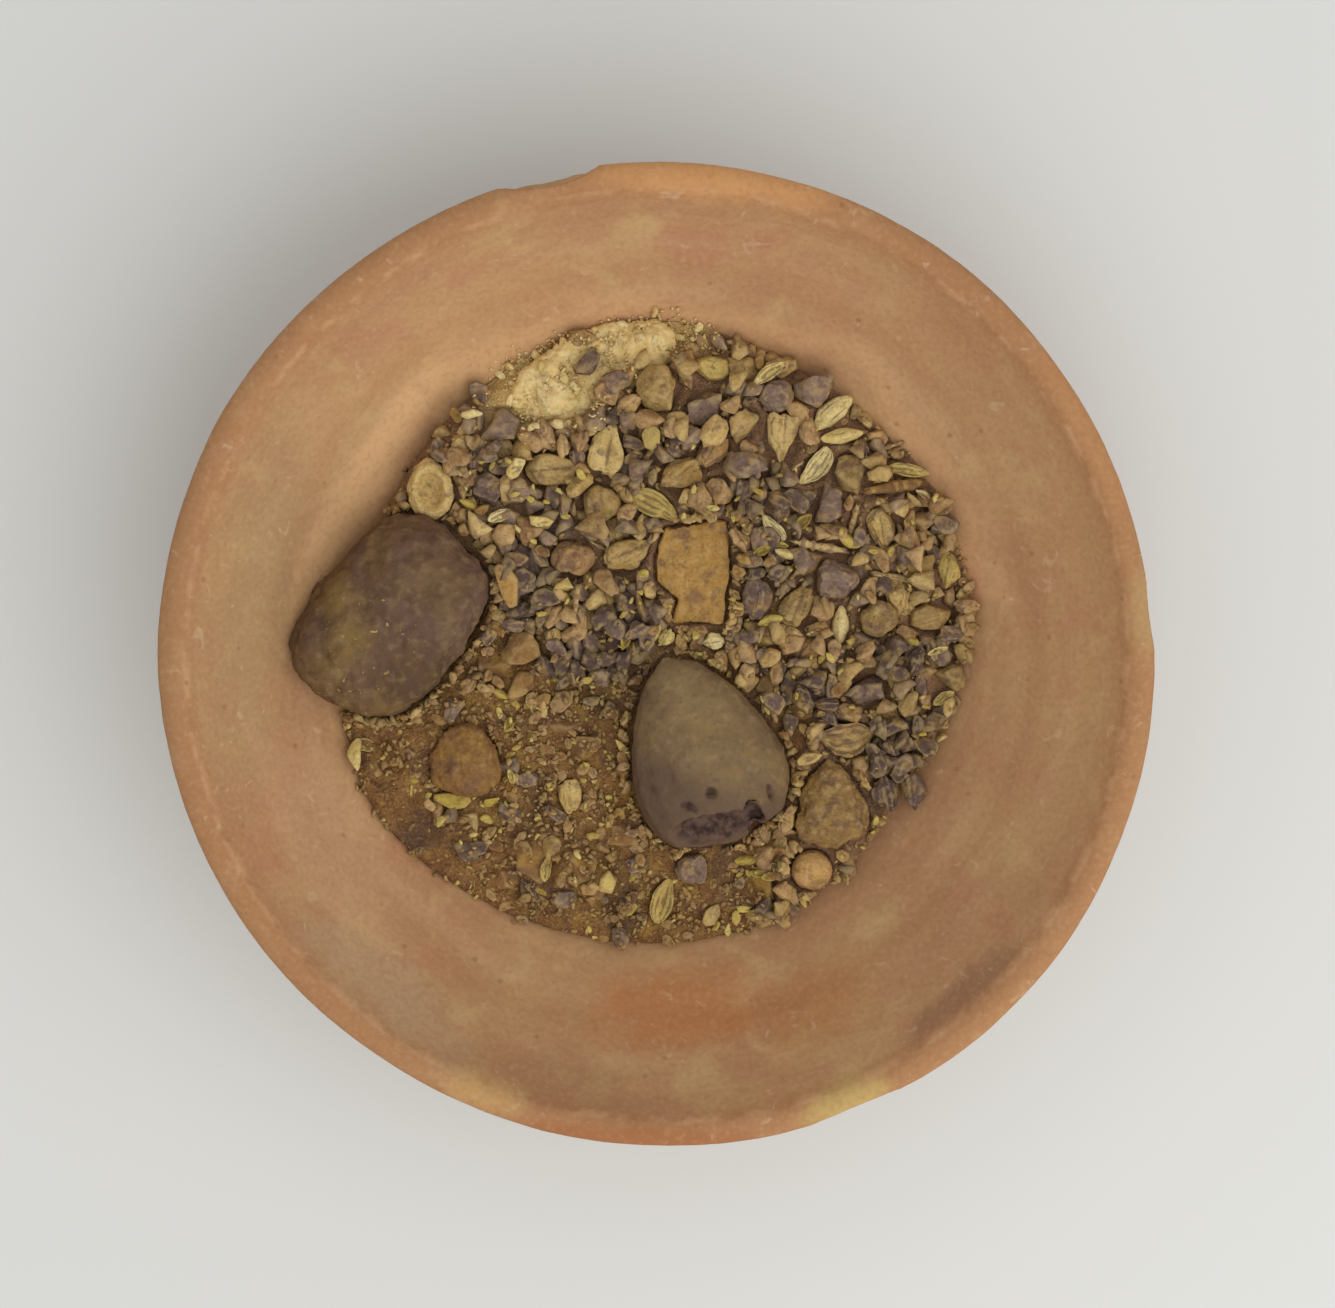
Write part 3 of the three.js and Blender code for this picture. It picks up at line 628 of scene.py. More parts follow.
# Dish, with the stretches of its outline
FOOT, BEVEL, OUTSIDE, LIP, BOWL = range(5)


def lip_point(degrees):
    a = np.radians(degrees)
    half = LIP_WIDTH / 2
    out = RIM_RADIUS - half + half * np.cos(a)
    return np.stack([out, DISH_HEIGHT - LIP_CROWN + LIP_CROWN * np.sin(a)], -1)


LIP_EDGE, LIP_EDGE_HEIGHT = lip_point(LIP_START)
FOOT_SHARE = (FOOT_RADIUS / LIP_EDGE) ** BOWL_CURVE
FLOOR = (FOOT_HEIGHT + HEEL_WALL - LIP_EDGE_HEIGHT * FOOT_SHARE) / (1 - FOOT_SHARE)


def bowl_height(r):
    return FLOOR + (LIP_EDGE_HEIGHT - FLOOR) * (r / LIP_EDGE) ** BOWL_CURVE


def bowl_slope(r):
    return (LIP_EDGE_HEIGHT - FLOOR) * BOWL_CURVE / LIP_EDGE * (r / LIP_EDGE) ** (BOWL_CURVE - 1)


def heap_top(x, y):
    """Height of the top of the heap without its loose seeds, as in the CAD."""
    dx, dy = x - HEAP_X, y - HEAP_Y
    share = np.hypot(dx, dy) / HEAP_RADIUS
    reach = 1 / np.clip(share, 1e-6, 1)
    edge = bowl_height(np.hypot(HEAP_X + dx * reach, HEAP_Y + dy * reach)) + HEAP_EDGE
    middle = bowl_height(HEAP_RADIUS) + HEAP_EDGE + HEAP_CROWN
    return middle + (edge - middle) * np.clip(share, 0, 1) ** 2


def dish_profile():
    """Points from the middle of the foot out, up the wall, over the lip and down to the bowl's middle."""
    r = np.linspace(HUB_RADIUS, FOOT_RADIUS - FOOT_BEVEL, FOOT_RINGS)
    foot = np.stack([r, 0 * r], -1)
    bevel = np.array([[FOOT_RADIUS, FOOT_BEVEL]])
    share = np.linspace(0, 1, OUTSIDE_RINGS)
    r = FOOT_RADIUS + (RIM_RADIUS - LIP_WIDTH - FOOT_RADIUS) * share
    wall = HEEL_WALL + (RIM_WALL - HEEL_WALL) * share
    lean = np.arctan(bowl_slope(r))
    outside = np.stack([r + wall * np.sin(lean), bowl_height(r) - wall * np.cos(lean)], -1)
    lip = lip_point(np.linspace(LIP_END, LIP_START, LIP_RINGS))
    r = np.linspace(LIP_EDGE, HUB_RADIUS, BOWL_RINGS)[1:]
    bowl = np.stack([r, bowl_height(r)], -1)
    parts = [foot, bevel, outside, lip, bowl]
    kinds = np.concatenate([np.full(len(p), i) for i, p in enumerate(parts)])
    return np.concatenate(parts), kinds


def uneven(p):
    """The hand-thrown unevenness of the rim, as in the CAD."""
    r = np.hypot(p[:, 0], p[:, 1])
    a = np.arctan2(p[:, 1], p[:, 0])
    share = smoothstep(EVEN_SHARE * RIM_RADIUS, RIM_RADIUS, r)
    oval = OVAL * np.cos(2 * (a - math.radians(OVAL_TURN)))
    lobes = THREE_LOBED * np.cos(3 * (a - math.radians(LOBE_TURN)))
    grow = 1 + share * (oval + lobes) / r
    return np.stack([p[:, 0] * grow, p[:, 1] * grow, p[:, 2] + share * RIM_WAVE * np.sin(2 * a)], -1)


def chipped(p):
    """Pushes the lip in where it is chipped. Returns the points and how much each was moved."""
    moved = np.zeros(len(p))
    for angle, along, depth, tall, lean in CHIPS:
        a = math.radians(angle)
        out, side = turned(p[:, 0], p[:, 1], a)
        rest = 1 - (side / along) ** 2 - ((p[:, 2] - DISH_HEIGHT + LIP_CROWN) / tall) ** 2
        deep = 1 - lean * side / along
        floor = RIM_RADIUS + depth - 2 * depth * np.sqrt(np.maximum(rest, 0)) * deep
        push = np.where((rest > 0) & (out > 0), np.maximum(out - floor, 0), 0)
        push *= 1 + 0.25 * rough(p, 2.5, 40)
        moved = np.maximum(moved, push)
        p = p - push[:, None] * np.array([math.cos(a), math.sin(a), 0])
    return p, moved


def build_dish():
    profile, kinds = dish_profile()
    way = np.gradient(profile, axis=0)
    way /= np.linalg.norm(way, axis=1, keepdims=True)
    length = np.concatenate([[0], np.cumsum(np.linalg.norm(np.diff(profile, axis=0), axis=1))])
    angle = np.arange(RING_POINTS) * 2 * np.pi / RING_POINTS
    ring, a = [g.ravel() for g in np.meshgrid(np.arange(len(profile)), angle, indexing="ij")]
    r, z = profile[ring].T
    flat = np.stack([r * np.cos(a), r * np.sin(a), z], -1)
    facing = np.stack([way[ring, 1] * np.cos(a), way[ring, 1] * np.sin(a), -way[ring, 0]], -1)
    kind = kinds[ring]
    wheel = np.where(kind == BOWL, WHEEL_DEPTH_INSIDE, np.where(kind == OUTSIDE, WHEEL_DEPTH_OUTSIDE, 0))
    wheel = wheel * smoothstep(*WHEEL_START, r) * (1 - smoothstep(*WHEEL_STOP, r))
    turn = 2 * np.pi * length[ring] / WHEEL_PITCH + a + 2.2 * noise(flat, 22, 3)
    swell = wheel * np.sin(turn) * (0.7 + 0.6 * noise(flat, 30, 5))
    swell += np.where(kind > FOOT, SKIN_SWELL, FOOT_SWELL) * noise(flat, 16, 7) + 0.05 * rough(flat, 3.2, 9)
    points, moved = chipped(uneven(flat + facing * swell[:, None]))
    inside = 1 - smoothstep(0, LIP_TONE_INSIDE, LIP_EDGE - r)
    lip = np.where(kind == LIP, 1, np.where(kind == BOWL, inside, 0))
    lip = np.maximum(lip, np.where(kind == OUTSIDE, smoothstep(*LIP_TONE_OUTSIDE, z), 0))
    # Nearness to the lip's inner edge, for its wear and painted highlight
    arris = 1 - smoothstep(*LIP_WEAR_AND_HIGHLIGHT, np.hypot(r - LIP_EDGE, z - LIP_EDGE_HEIGHT))
    marks = {"lip": lip, "edge": arris, "chip": smoothstep(0.1, 0.6, moved)}
    marks = {key: np.concatenate([value, [0, 0]]) for key, value in marks.items()}
    points, faces = tube(points.reshape(-1, RING_POINTS, 3))
    add_fine("dish", points, faces[:, ::-1], marks)


build_dish()


# Shapes of seeds, in a box of size 1 round the origin: long in X, wide in Y, thick in Z
def unit(p):
    low, high = p.min(0), p.max(0)
    return (p - (low + high) / 2) / (high - low)


def arrays_of(work):
    work.verts.index_update()
    points = np.array([v.co for v in work.verts])
    faces = np.array([[v.index for v in f.verts] for f in work.faces])
    work.free()
    return points, faces


def ball(level):
    work = bmesh.new()
    bmesh.ops.create_icosphere(work, subdivisions=level, radius=0.5)
    return arrays_of(work)


def broken(corners, level):
    """A piece with flat broken faces between those corners, its edges a little worn."""
    work = bmesh.new()
    for corner in corners:
        work.verts.new(corner)
    bmesh.ops.convex_hull(work, input=work.verts)
    bmesh.ops.delete(work, geom=[v for v in work.verts if not v.link_faces], context="VERTS")
    if level > 1:
        bmesh.ops.subdivide_edges(work, edges=work.edges, cuts=level - 1, use_grid_fill=True)
        bmesh.ops.triangulate(work, faces=work.faces)
        smooth = {"factor": 0.3, "use_axis_x": True, "use_axis_y": True, "use_axis_z": True}
        bmesh.ops.smooth_vert(work, verts=work.verts, **smooth)
    bmesh.ops.recalc_face_normals(work, faces=work.faces)
    return arrays_of(work)


def flattened(p, rng, count, low, high):
    """Presses flat faces into a shape, at a distance from its middle between low and high."""
    for _ in range(count):
        n = rng.normal(size=3)
        n /= np.linalg.norm(n)
        p = p - np.maximum(p @ n - rng.uniform(low, high), 0)[:, None] * n
    return p


def berry(seed, level):
    p, f = ball(level)
    p = flattened(p, np.random.default_rng(seed), 7, 0.3, 0.42)
    p = p * (1 + 0.1 * noise(p, 0.5, seed) + 0.14 * folds(p * [1, 1, 0.7], 0.36, seed + 9))[:, None]
    stalk = np.linalg.norm(p - [0.1, 0.05, 0.42], axis=1)
    p[:, 2] -= 0.1 * np.exp(-((stalk / 0.13) ** 2))
    return unit(p), f


def kernel(seed, level):
    p, f = ball(level)
    rng = np.random.default_rng(seed)
    p = flattened(p, rng, 7, 0.28, 0.42)
    t = p[:, 0] + 0.5
    narrow = 1 - rng.uniform(0.35, 0.65) * t**2.2
    p[:, 1] *= narrow
    p[:, 2] *= narrow
    p[:, 1] += 0.08 * np.sin(3 * t + seed)
    wrinkles = 0.08 * noise(p * [0.5, 1, 1], 0.24, seed) + 0.2 * folds(p * [0.4, 1, 1], 0.3, seed + 3)
    p = p * (1 + wrinkles)[:, None]
    p[:, 2] -= np.where(p[:, 2] > 0, 0.08 * np.exp(-((p[:, 1] / 0.06) ** 2)), 0)
    return unit(p), f


def chunk(seed, level):
    rng = np.random.default_rng(seed)
    corners = rng.normal(size=(9, 3))
    corners *= (rng.uniform(0.7, 1, 9) / np.linalg.norm(corners, axis=1))[:, None]
    p, f = broken(corners, level)
    p = unit(p)
    return unit(p * (1 + 0.07 * rough(p, 0.35, seed) + 0.2 * folds(p, 0.4, seed + 5))[:, None]), f


def flake(seed, level):
    rng = np.random.default_rng(seed)
    a = np.arange(7) * 2 * np.pi / 7 + rng.uniform(-0.35, 0.35, 7)
    out = rng.uniform(0.7, 1, 7)
    edge = np.stack([out * np.cos(a), out * np.sin(a)], -1)
    top = np.column_stack([edge * rng.uniform(0.75, 0.95), np.full(7, 0.22)])
    low = np.column_stack([edge, np.full(7, -0.22)])
    p, f = broken(np.concatenate([top, low]), level)
    p[:, 2] += 0.4 * p[:, 0] ** 2 * rng.uniform(-1, 1) + 0.06 * rough(p, 0.4, seed)
    return unit(p), f


def husk(seed, level):
    """A split seed coat: a thin boat with ribs along it."""
    rng = np.random.default_rng(seed)
    n, half = 5 * level, 2 + 2 * level
    s = np.linspace(0.02, 0.98, n)[:, None]
    t = np.concatenate([np.linspace(-1, 1, half), np.linspace(1, -1, half)])[None]
    side = np.concatenate([np.ones(half), -np.ones(half)])[None]
    width = 0.5 * np.sin(np.pi * s**rng.uniform(0.75, 1.05)) ** 0.7
    cup = rng.uniform(0.2, 0.5)
    z = cup * (t * width / 0.5) ** 2 + rng.uniform(0, 0.5) * (s - 0.5) ** 2
    z = z + side * 0.07 * (1 - 0.6 * t**2) * width / 0.5 + 0.025 * np.cos(4 * np.pi * t) * width / 0.5
    rings = np.stack([s - 0.5 + 0 * t, t * width + 0.08 * np.sin(3 * s), z], -1)
    points, faces = tube(rings)
    points[:, 1] += 0.05 * noise(points, 0.2, seed)
    points[:, 2] += 0.04 * noise(points, 0.15, seed)
    points = unit(points)
    if rng.random() < 0.5:
        points = points * [1, -1, -1]
    return points, faces


def straw(seed, level):
    rng = np.random.default_rng(seed)
    n, k = 4 * level, 4 + 2 * level
    s = np.linspace(-0.5, 0.5, n)[:, None]
    a = np.linspace(0, 2 * np.pi, k, endpoint=False)[None]
    rib = 1 + 0.16 * np.sin(3 * a + seed) + 0.16 * rng.normal(size=(1, k))
    rib = rib * (1 - 0.35 * np.abs(2 * s) ** 2.5) * (1 + 0.25 * rng.normal(size=(n, 1)))
    ragged = np.where(np.abs(s) > 0.49, 0.05 * rng.normal(size=(1, k)), 0)
    bend = rng.uniform(-1, 1) * (0.25 - s**2)
    rings = np.stack([s + ragged, 0.5 * rib * np.cos(a) + bend, 0.5 * rib * np.sin(a) + 0 * s], -1)
    points, faces = tube(rings)
    return unit(points), faces


def crumb(seed, level):
    rng = np.random.default_rng(seed)
    p, f = broken(rng.normal(size=(10, 3)) * rng.uniform(0.7, 1, (10, 1)), level)
    return unit(p), f


MAKERS = {maker.__name__: maker for maker in (berry, kernel, chunk, flake, husk, straw, crumb)}


def grains(points, size, seed):
    """Rounded grains side by side, from 0 between them to 1 on top, seen from above."""
    plan = points[:, :2] / size
    cell = np.floor(plan)
    nearest = np.full(len(points), 9.0)
    for dx, dy in itertools.product((-1, 0, 1), repeat=2):
        near = cell + [dx, dy]
        at = np.column_stack([near + 0.5, np.zeros(len(near))])
        middle = near + 0.5 + 0.42 * np.stack([noise(at * 7.31, 1, seed), noise(at * 5.17, 1, seed + 1)], -1)
        nearest = np.minimum(nearest, np.linalg.norm(plan - middle, axis=1))
    return np.sqrt(np.clip(1 - (nearest / 0.75) ** 2, 0, 1))


# Holes in the skin of the centre fruit: place, half length, half width, turn, depth
HOLES = [
    (8.5, -22.3, 1.3, 1, 20, 1.2),
    (18.4, -22.8, 1.6, 0.6, 105, 1.2),
    (15.8, -27.4, 4.2, 1.5, 100, 1.8),
    (4.6, -24.8, 1.8, 0.9, 150, 0.7),
]


def holes(points):
    """How deep each point lies in a hole, and that depth as a share of the hole's own."""
    deep = np.zeros(len(points))
    share = np.zeros(len(points))
    for x, y, long, wide, turn, depth in HOLES:
        along, across = turned(points[:, 0] - x, points[:, 1] - y, math.radians(turn))
        here = np.hypot(along / long, across / wide) + 0.25 * noise(points, 1, 14)
        here = 1 - smoothstep(0.5, 1.15, here)
        deep = np.maximum(deep, depth * here)
        share = np.maximum(share, here)
    return deep, share


def shape_fruit_left(points, marks):
    swell = 0.4 * noise(points, 7, 12) + 0.35 * noise(points, 3.2, 11) + 0.25 * rough(points, 1.7, 13)
    return swell + 0.8 * (folds(points, 11, 14) + 0.4)


def shape_fruit_centre(points, marks):
    """Uneven skin, ragged where it is torn and sunken at the holes."""
    torn = smoothstep(0.15, 1.5, hull_depth(points) + 0.7 * noise(points, 2.2, 18))
    deep, share = holes(points)
    marks["torn"] = np.maximum(torn, smoothstep(0.3, 0.8, share))
    marks["low"] = smoothstep(-13, -21, points[:, 1] + 0.35 * points[:, 0] + 2.5 * noise(points, 4, 15))
    swell = 0.25 * noise(points, 6, 16) + 0.1 * rough(points, 1.6, 17) - deep
    return swell + torn * 0.7 * rough(points, 1.6, 19)


def shape_bark(points, marks):
    return 0.3 * rough(points * [1, 0.3, 1], 1.4, 21) + 0.3 * noise(points, 3, 22)


def shape_round_berry(points, marks):
    return 0.14 * noise(points, 2.5, 23) + 0.05 * rough(points, 0.8, 24)


def shape_shell(points, marks):
    inside = smoothstep(0.3, 0.9, hull_depth(points))
    marks["tint"] = marks["tint"] - 0.4 * inside
    return 0.16 * rough(points, 1.6, 25)


def shape_broken_lump(points, marks):
    return 0.45 * noise(points, 3.4, 26) + 0.3 * rough(points, 1.2, 27)


def shape_caked(points, marks):
    return 0.6 * noise(points, 3.4, 28) + 0.4 * grains(points, 0.9, 29) + 0.2 * rough(points, 1.2, 27)


# CAD pieces with a finer copy of their own mesh: voxel, smoothing rounds, tint from dark 0 to pale 1, relief
FINE_NODES = {
    "fruit_left": (0.5, 8, 0.5, shape_fruit_left),
    "fruit_centre": (0.42, 6, 0.5, shape_fruit_centre),
    "broken_lump": (0.35, 4, 0.5, shape_broken_lump),
    "crumb_lump": (0.35, 4, 0.6, shape_caked),
    "meal_patch": (0.35, 3, 0.75, shape_caked),
    "tan_shell": (0.28, 3, 0.9, shape_shell),
    "bark_chip": (0.25, 2, 0.5, shape_bark),
    "round_berry": (0.25, 6, 0.5, shape_round_berry),
}


def build_fine(node):
    voxel, rounds, tint, shape = FINE_NODES[node]
    points, faces = fine_mesh(node, voxel, rounds)
    marks = {"tint": np.full(len(points), tint)}
    swell = shape(points, marks)
    add_fine(node, points + normals_of(points, faces) * swell[:, None], faces, marks)


for node in FINE_NODES:
    build_fine(node)


# Which shape a CAD seed has, from words in its name that don't name the shape itself
SHAPE_WORDS = {
    "round": "berry", "seed": "kernel", "bit": "kernel", "lump": "kernel", "sliver": "husk", "crumb": "chunk",
    "stick": "straw", "twig": "straw", "strip": "straw",
}
SEED_LEVEL = 4  # fineness of a seed's mesh
SEEDS = [n for n in sorted(NODES) if n not in FINE_NODES and n not in ("dish", "crumb_bed")]
# Seeds that are darker or paler than most of their sort, from dark 0 to pale 1
TINTS = {
    "tan_kernel_top": 1.1, "olive_kernel_right": 0.95, "flat_kernel": 0.65, "dark_chunk_left": 1.1,
    "grey_kernel": 0.8, "olive_chunk": 0.7, "dark_chunk_rim": 1.05, "pale_husk_crown": 0.8,
    "pale_husk_right": 0.9, "pale_husk_mid": 0.8, "white_bit": 0.9, "pale_lump_low": 0.75,
    "pink_kernel": 0.65, "round_seed": 0.75, "cream_sliver": 0.9, "dark_chunk_crown": 0.7,
    "dark_berry_crown": 0.75, "grey_berry": 0.65, "purple_chunk": 0.75, "dark_berry_low": 0.8,
    "ochre_crumb": 0.8, "dark_seed_mid": 0.4, "ochre_kernel": 0.35, "orange_straw": 0.8,
    "tan_husk": 0.15, "tan_long_kernel": 0.1, "tan_flake_right": -0.2, "brown_berry": 0.3,
    "dark_berry_left": 0.35, "dark_seed_low": 0, "dark_seed_rim": 0.3, "long_straw": 0.9, "fibre_twig": 1.2,
    "grey_chunk_mid": 0.4, "grey_chunk_right": 0.05, "grey_chunk_rim": 0.2, "olive_berry_right": 0,
    "olive_kernel_mid": 0.3, "pale_kernel_rim": -0.1, "yellow_flake": 0.15, "pale_husk_centre": 0.15,
    "pale_sliver_low": 0.1,
}


def lie_of(node):
    """Middle, axes as columns (long, wide, thick) and sizes of a CAD seed, in mm."""
    points, _ = cad_mesh(node)
    points = np.unique(points.round(3), axis=0)
    _, axes = np.linalg.eigh(np.cov((points - points.mean(0)).T))
    axes = axes[:, ::-1]
    if axes[2, 2] < 0:
        axes[:, 2] *= -1
    along = (points - points.mean(0)) @ axes[:, 0]
    if along.max() < -along.min():
        axes[:, 0] *= -1
    axes[:, 1] = np.cross(axes[:, 2], axes[:, 0])
    local = points @ axes
    low, high = local.min(0), local.max(0)
    return axes @ ((low + high) / 2), axes, high - low


def build_seed(node, seed):
    shapes = [SHAPE_WORDS.get(w, w) for w in node.split("_") if w in SHAPE_WORDS or w in MAKERS]
    points, faces = MAKERS[shapes[0]](seed, SEED_LEVEL)
    middle, axes, sizes = lie_of(node)
    points = middle + (points * sizes) @ axes.T
    marks = {"tint": np.full(len(points), TINTS.get(node, 0.5)), "relief": relief(points, faces)}
    add_fine(node, points, faces, marks)


for number, node in enumerate(SEEDS):
    build_seed(node, number)


# Where meal is spilt: place, half length and half width as shares of the heap's radius, turn
MEAL_AREAS = [
    (-0.17, 0.885, 0.27, 0.1, 24),
    (-0.35, 0.815, 0.21, 0.125, 34),
    (-0.25, 0.755, 0.11, 0.08, 0),
    (0.02, 0.97, 0.18, 0.06, 0),
]
# Where the heap is dark, given in the same way
DARK_AREAS = [
    (-0.4, 0.19, 0.17, 0.08, 90),
    (-0.11, -0.02, 0.24, 0.11, 80),
    (-0.27, -0.07, 0.09, 0.06, 0),
    (-0.12, 0.36, 0.07, 0.06, 0),
    (-0.32, 0.42, 0.07, 0.06, 0),
    (-0.5, 0.57, 0.06, 0.06, 0),
    (0.48, 0.4, 0.08, 0.06, 0),
    (-0.04, 0.58, 0.11, 0.08, 60),
    (0.33, 0.48, 0.09, 0.08, 60),
    (0.35, 0.22, 0.14, 0.07, 0),
    (0.5, -0.18, 0.14, 0.07, -20),
    (0.82, -0.05, 0.09, 0.06, 0),
    (0.82, -0.33, 0.12, 0.09, 40),
    (-0.75, -0.63, 0.09, 0.05, 0),
    (-0.35, -0.83, 0.08, 0.05, 0),
    (-0.1, -0.86, 0.13, 0.06, 100),
    (0.25, -0.75, 0.08, 0.06, 60),
]
AREA_CORE = 0.7  # the share of an oval's size within which it has its full effect
AREA_END = 1.35  # and the share at which that ends
DARKENED = (OLIVE, BROWN, TAN)  # paints that turn to dark_seed in dark areas

# Loose seeds and crumbs lie on a grid of heights seen from above
CELL = 0.4
REACH = 62
COUNT = int(2 * REACH / CELL)
KEPT_SHARE = 0.06  # share of a loose piece that may lie on a seed that is to be seen
REST_SHARE = 0.62  # share of what lies under a piece that it rests above
RISE_SHARE = 0.35  # share of its thickness by which the CAD shows a loose piece at least
BLOCKED_SHARE = 0.05  # share of lifted pieces round a cell from which nothing may lie there
BESIDE_SHARE = 0.03  # and, seen more widely, from which a cell counts as beside one
BESIDE_BLUR = 6
HEAP_BLUR = 5
INSIDE_SHARE = 0.6  # share of heap round a cell that counts as inside the heap
EDGE_SHARE = 0.7  # and below which it counts as its edge


def blurred(grid, rounds):
    for _ in range(rounds):
        for axis in (0, 1):
            grid = (np.roll(grid, 1, axis) + grid + np.roll(grid, -1, axis)) / 3
    return grid


class Heap:
    """Height of everything on the grid, with the cells that nothing may cover."""

    def __init__(self):
        at = (np.arange(COUNT) + 0.5) * CELL - REACH
        self.x, self.y = np.meshgrid(at + HEAP_X, at + HEAP_Y, indexing="ij")
        self.u = (self.x - HEAP_X) / HEAP_RADIUS
        self.v = (self.y - HEAP_Y) / HEAP_RADIUS
        self.look_down()
        self.find_zones()
        self.made = {}

    def look_down(self):
        corners, faces, owners, total = [], [], [], 0
        for node in NODES:
            p, f = cad_mesh(node)
            corners.append(p)
            faces.append(f + total)
            owners += [node] * len(f)
            total += len(p)
        tree = BVHTree.FromPolygons(np.concatenate(corners).tolist(), np.concatenate(faces).tolist())
        down = Vector((0, 0, -1))
        top = 2 * DISH_HEIGHT
        self.height = np.zeros((COUNT, COUNT))
        seen = np.full((COUNT, COUNT), "", object)
        for i, j in np.ndindex(COUNT, COUNT):
            hit, _, index, _ = tree.ray_cast(Vector((self.x[i, j], self.y[i, j], top)), down)
            if hit:
                self.height[i, j] = hit.z
                seen[i, j] = owners[index]
        self.find_room(seen)

    def find_room(self, seen):
        """What may be covered, how far the bed rises, and how much of each cell's surroundings is heap."""
        bed = seen == "crumb_bed"
        lifted = np.isin(seen, LIFTED)
        self.blocked = blurred((lifted | (seen == "")).astype(float), 1) > BLOCKED_SHARE
        self.beside = (blurred(lifted.astype(float), BESIDE_BLUR) > BESIDE_SHARE) & bed
        self.kept = np.isin(seen, SEEDS + ["tan_shell", "crumb_lump"])
        self.heap = blurred((~np.isin(seen, ["dish", ""])).astype(float), HEAP_BLUR)
        self.seedy = self.seed_share()
        self.cad_rise = np.where(bed, self.height - heap_top(self.x, self.y), 0)
        self.height -= np.maximum(self.cad_rise, 0)
        clear = 1 - smoothstep(0.02, 0.5, blurred((lifted | self.kept).astype(float), 1))
        inside = smoothstep(INSIDE_SHARE, 1, self.heap)
        rise = BED_RAISE_CRUMBS + (BED_RAISE_SEEDS - BED_RAISE_CRUMBS) * self.seedy
        self.raise_by = clear * inside * rise
        self.height += np.where(bed, self.raise_by, 0)
        self.thin = BED_THIN_BY * clear * smoothstep(BED_THIN_FROM, 1, np.hypot(self.u, self.v))
        self.thin *= smoothstep(BED_THIN_NONE, BED_THIN_FULL, self.v)
        wall = bowl_height(np.hypot(self.x, self.y))
        self.height -= np.where(bed, self.thin * np.maximum(self.height - wall, 0), 0)
        self.base = self.height.copy()

    def seed_share(self):
        """1 where the heap is made of seeds and 0 where it is made of crumbs."""
        plan = np.stack([self.x.ravel(), self.y.ravel(), np.zeros(self.x.size)], -1)
        wander = 0.12 * rough(plan, 12, 50).reshape(self.x.shape)
        return smoothstep(-0.1, 0.1, np.maximum(self.v - SEEDS_ABOVE, self.u - SEEDS_RIGHT) + wander)

    def within(self, areas):
        """1 in the ovals given, fading to 0 round them."""
        total = np.zeros(self.u.shape)
        for u, v, long, wide, turn in areas:
            along, across = turned(self.u - u, self.v - v, math.radians(turn))
            total = np.maximum(total, smoothstep(AREA_END, AREA_CORE, np.hypot(along / long, across / wide)))
        return total

    def find_zones(self):
        """The chance of each cell being picked, summed cell by cell, for each part of the heap."""
        free = ~self.blocked
        heap = free & (self.heap > INSIDE_SHARE)
        self.meal = self.within(MEAL_AREAS)
        self.dark = self.within(DARK_AREAS)
        shares = {
            "seeds": heap * self.seedy * (1 - self.meal),
            "crumbs": heap * (1 - self.seedy),
            "meal": free * self.meal,
            "beside": free & self.beside,
            "edge": free * smoothstep(0, 0.5, self.heap) * (self.heap < EDGE_SHARE) * (1 - self.meal),
        }
        self.zones = {}
        for zone, share in shares.items():
            summed = np.cumsum(share.ravel())
            self.zones[zone] = summed / summed[-1]

    def spots(self, rng, zone, count):
        """Random places in a zone."""
        cells = np.searchsorted(self.zones[zone], rng.random(count))
        shift = (rng.random((2, count)) - 0.5) * CELL
        return np.stack([self.x.ravel()[cells] + shift[0], self.y.ravel()[cells] + shift[1]], -1)

    def cell(self, x, y):
        return int((x - HEAP_X + REACH) / CELL), int((y - HEAP_Y + REACH) / CELL)

    def window(self, x, y, sizes, turn):
        """The cells under a piece, and half its thickness at each."""
        reach = math.ceil(max(sizes[:2]) / 2 / CELL) + 1
        span = np.arange(-reach, reach + 1)
        ci, cj = self.cell(x, y)
        i, j = [g.ravel() for g in np.meshgrid(ci + span, cj + span, indexing="ij")]
        i, j = np.clip(i, 0, COUNT - 1), np.clip(j, 0, COUNT - 1)
        along, across = turned(self.x[i, j] - x, self.y[i, j] - y, turn)
        rest = 1 - (2 * along / sizes[0]) ** 2 - (2 * across / sizes[1]) ** 2
        keep = rest > 0
        return i[keep], j[keep], sizes[2] / 2 * np.sqrt(rest[keep])

    def lay(self, rng, shape, sizes, spots, paint, lean, turn=None, level=2):
        """Lays a piece at whichever of the spots lets it lie lowest."""
        best = None
        for x, y in spots:
            way = rng.uniform(0, 2 * np.pi) if turn is None else turn
            i, j, half = self.window(x, y, sizes, way)
            if len(i) == 0 or self.blocked[i, j].any():
                continue
            if turn is None and self.kept[i, j].mean() > KEPT_SHARE:
                continue
            z = np.quantile(self.height[i, j] + half, REST_SHARE)
            rise = z - self.base[self.cell(x, y)]
            if best is None or rise < best[0]:
                best = (rise, x, y, z, way)
        if best is None:
            return
        self.put(rng, shape, sizes, best[1:4], best[4], paint, lean, level)

    def put(self, rng, shape, sizes, at, turn, paint, lean, level):
        """Adds a piece at a place, and raises the heap there."""
        i, j, half = self.window(*at[:2], sizes, turn)
        self.height[i, j] = np.maximum(self.height[i, j], at[2] + half)
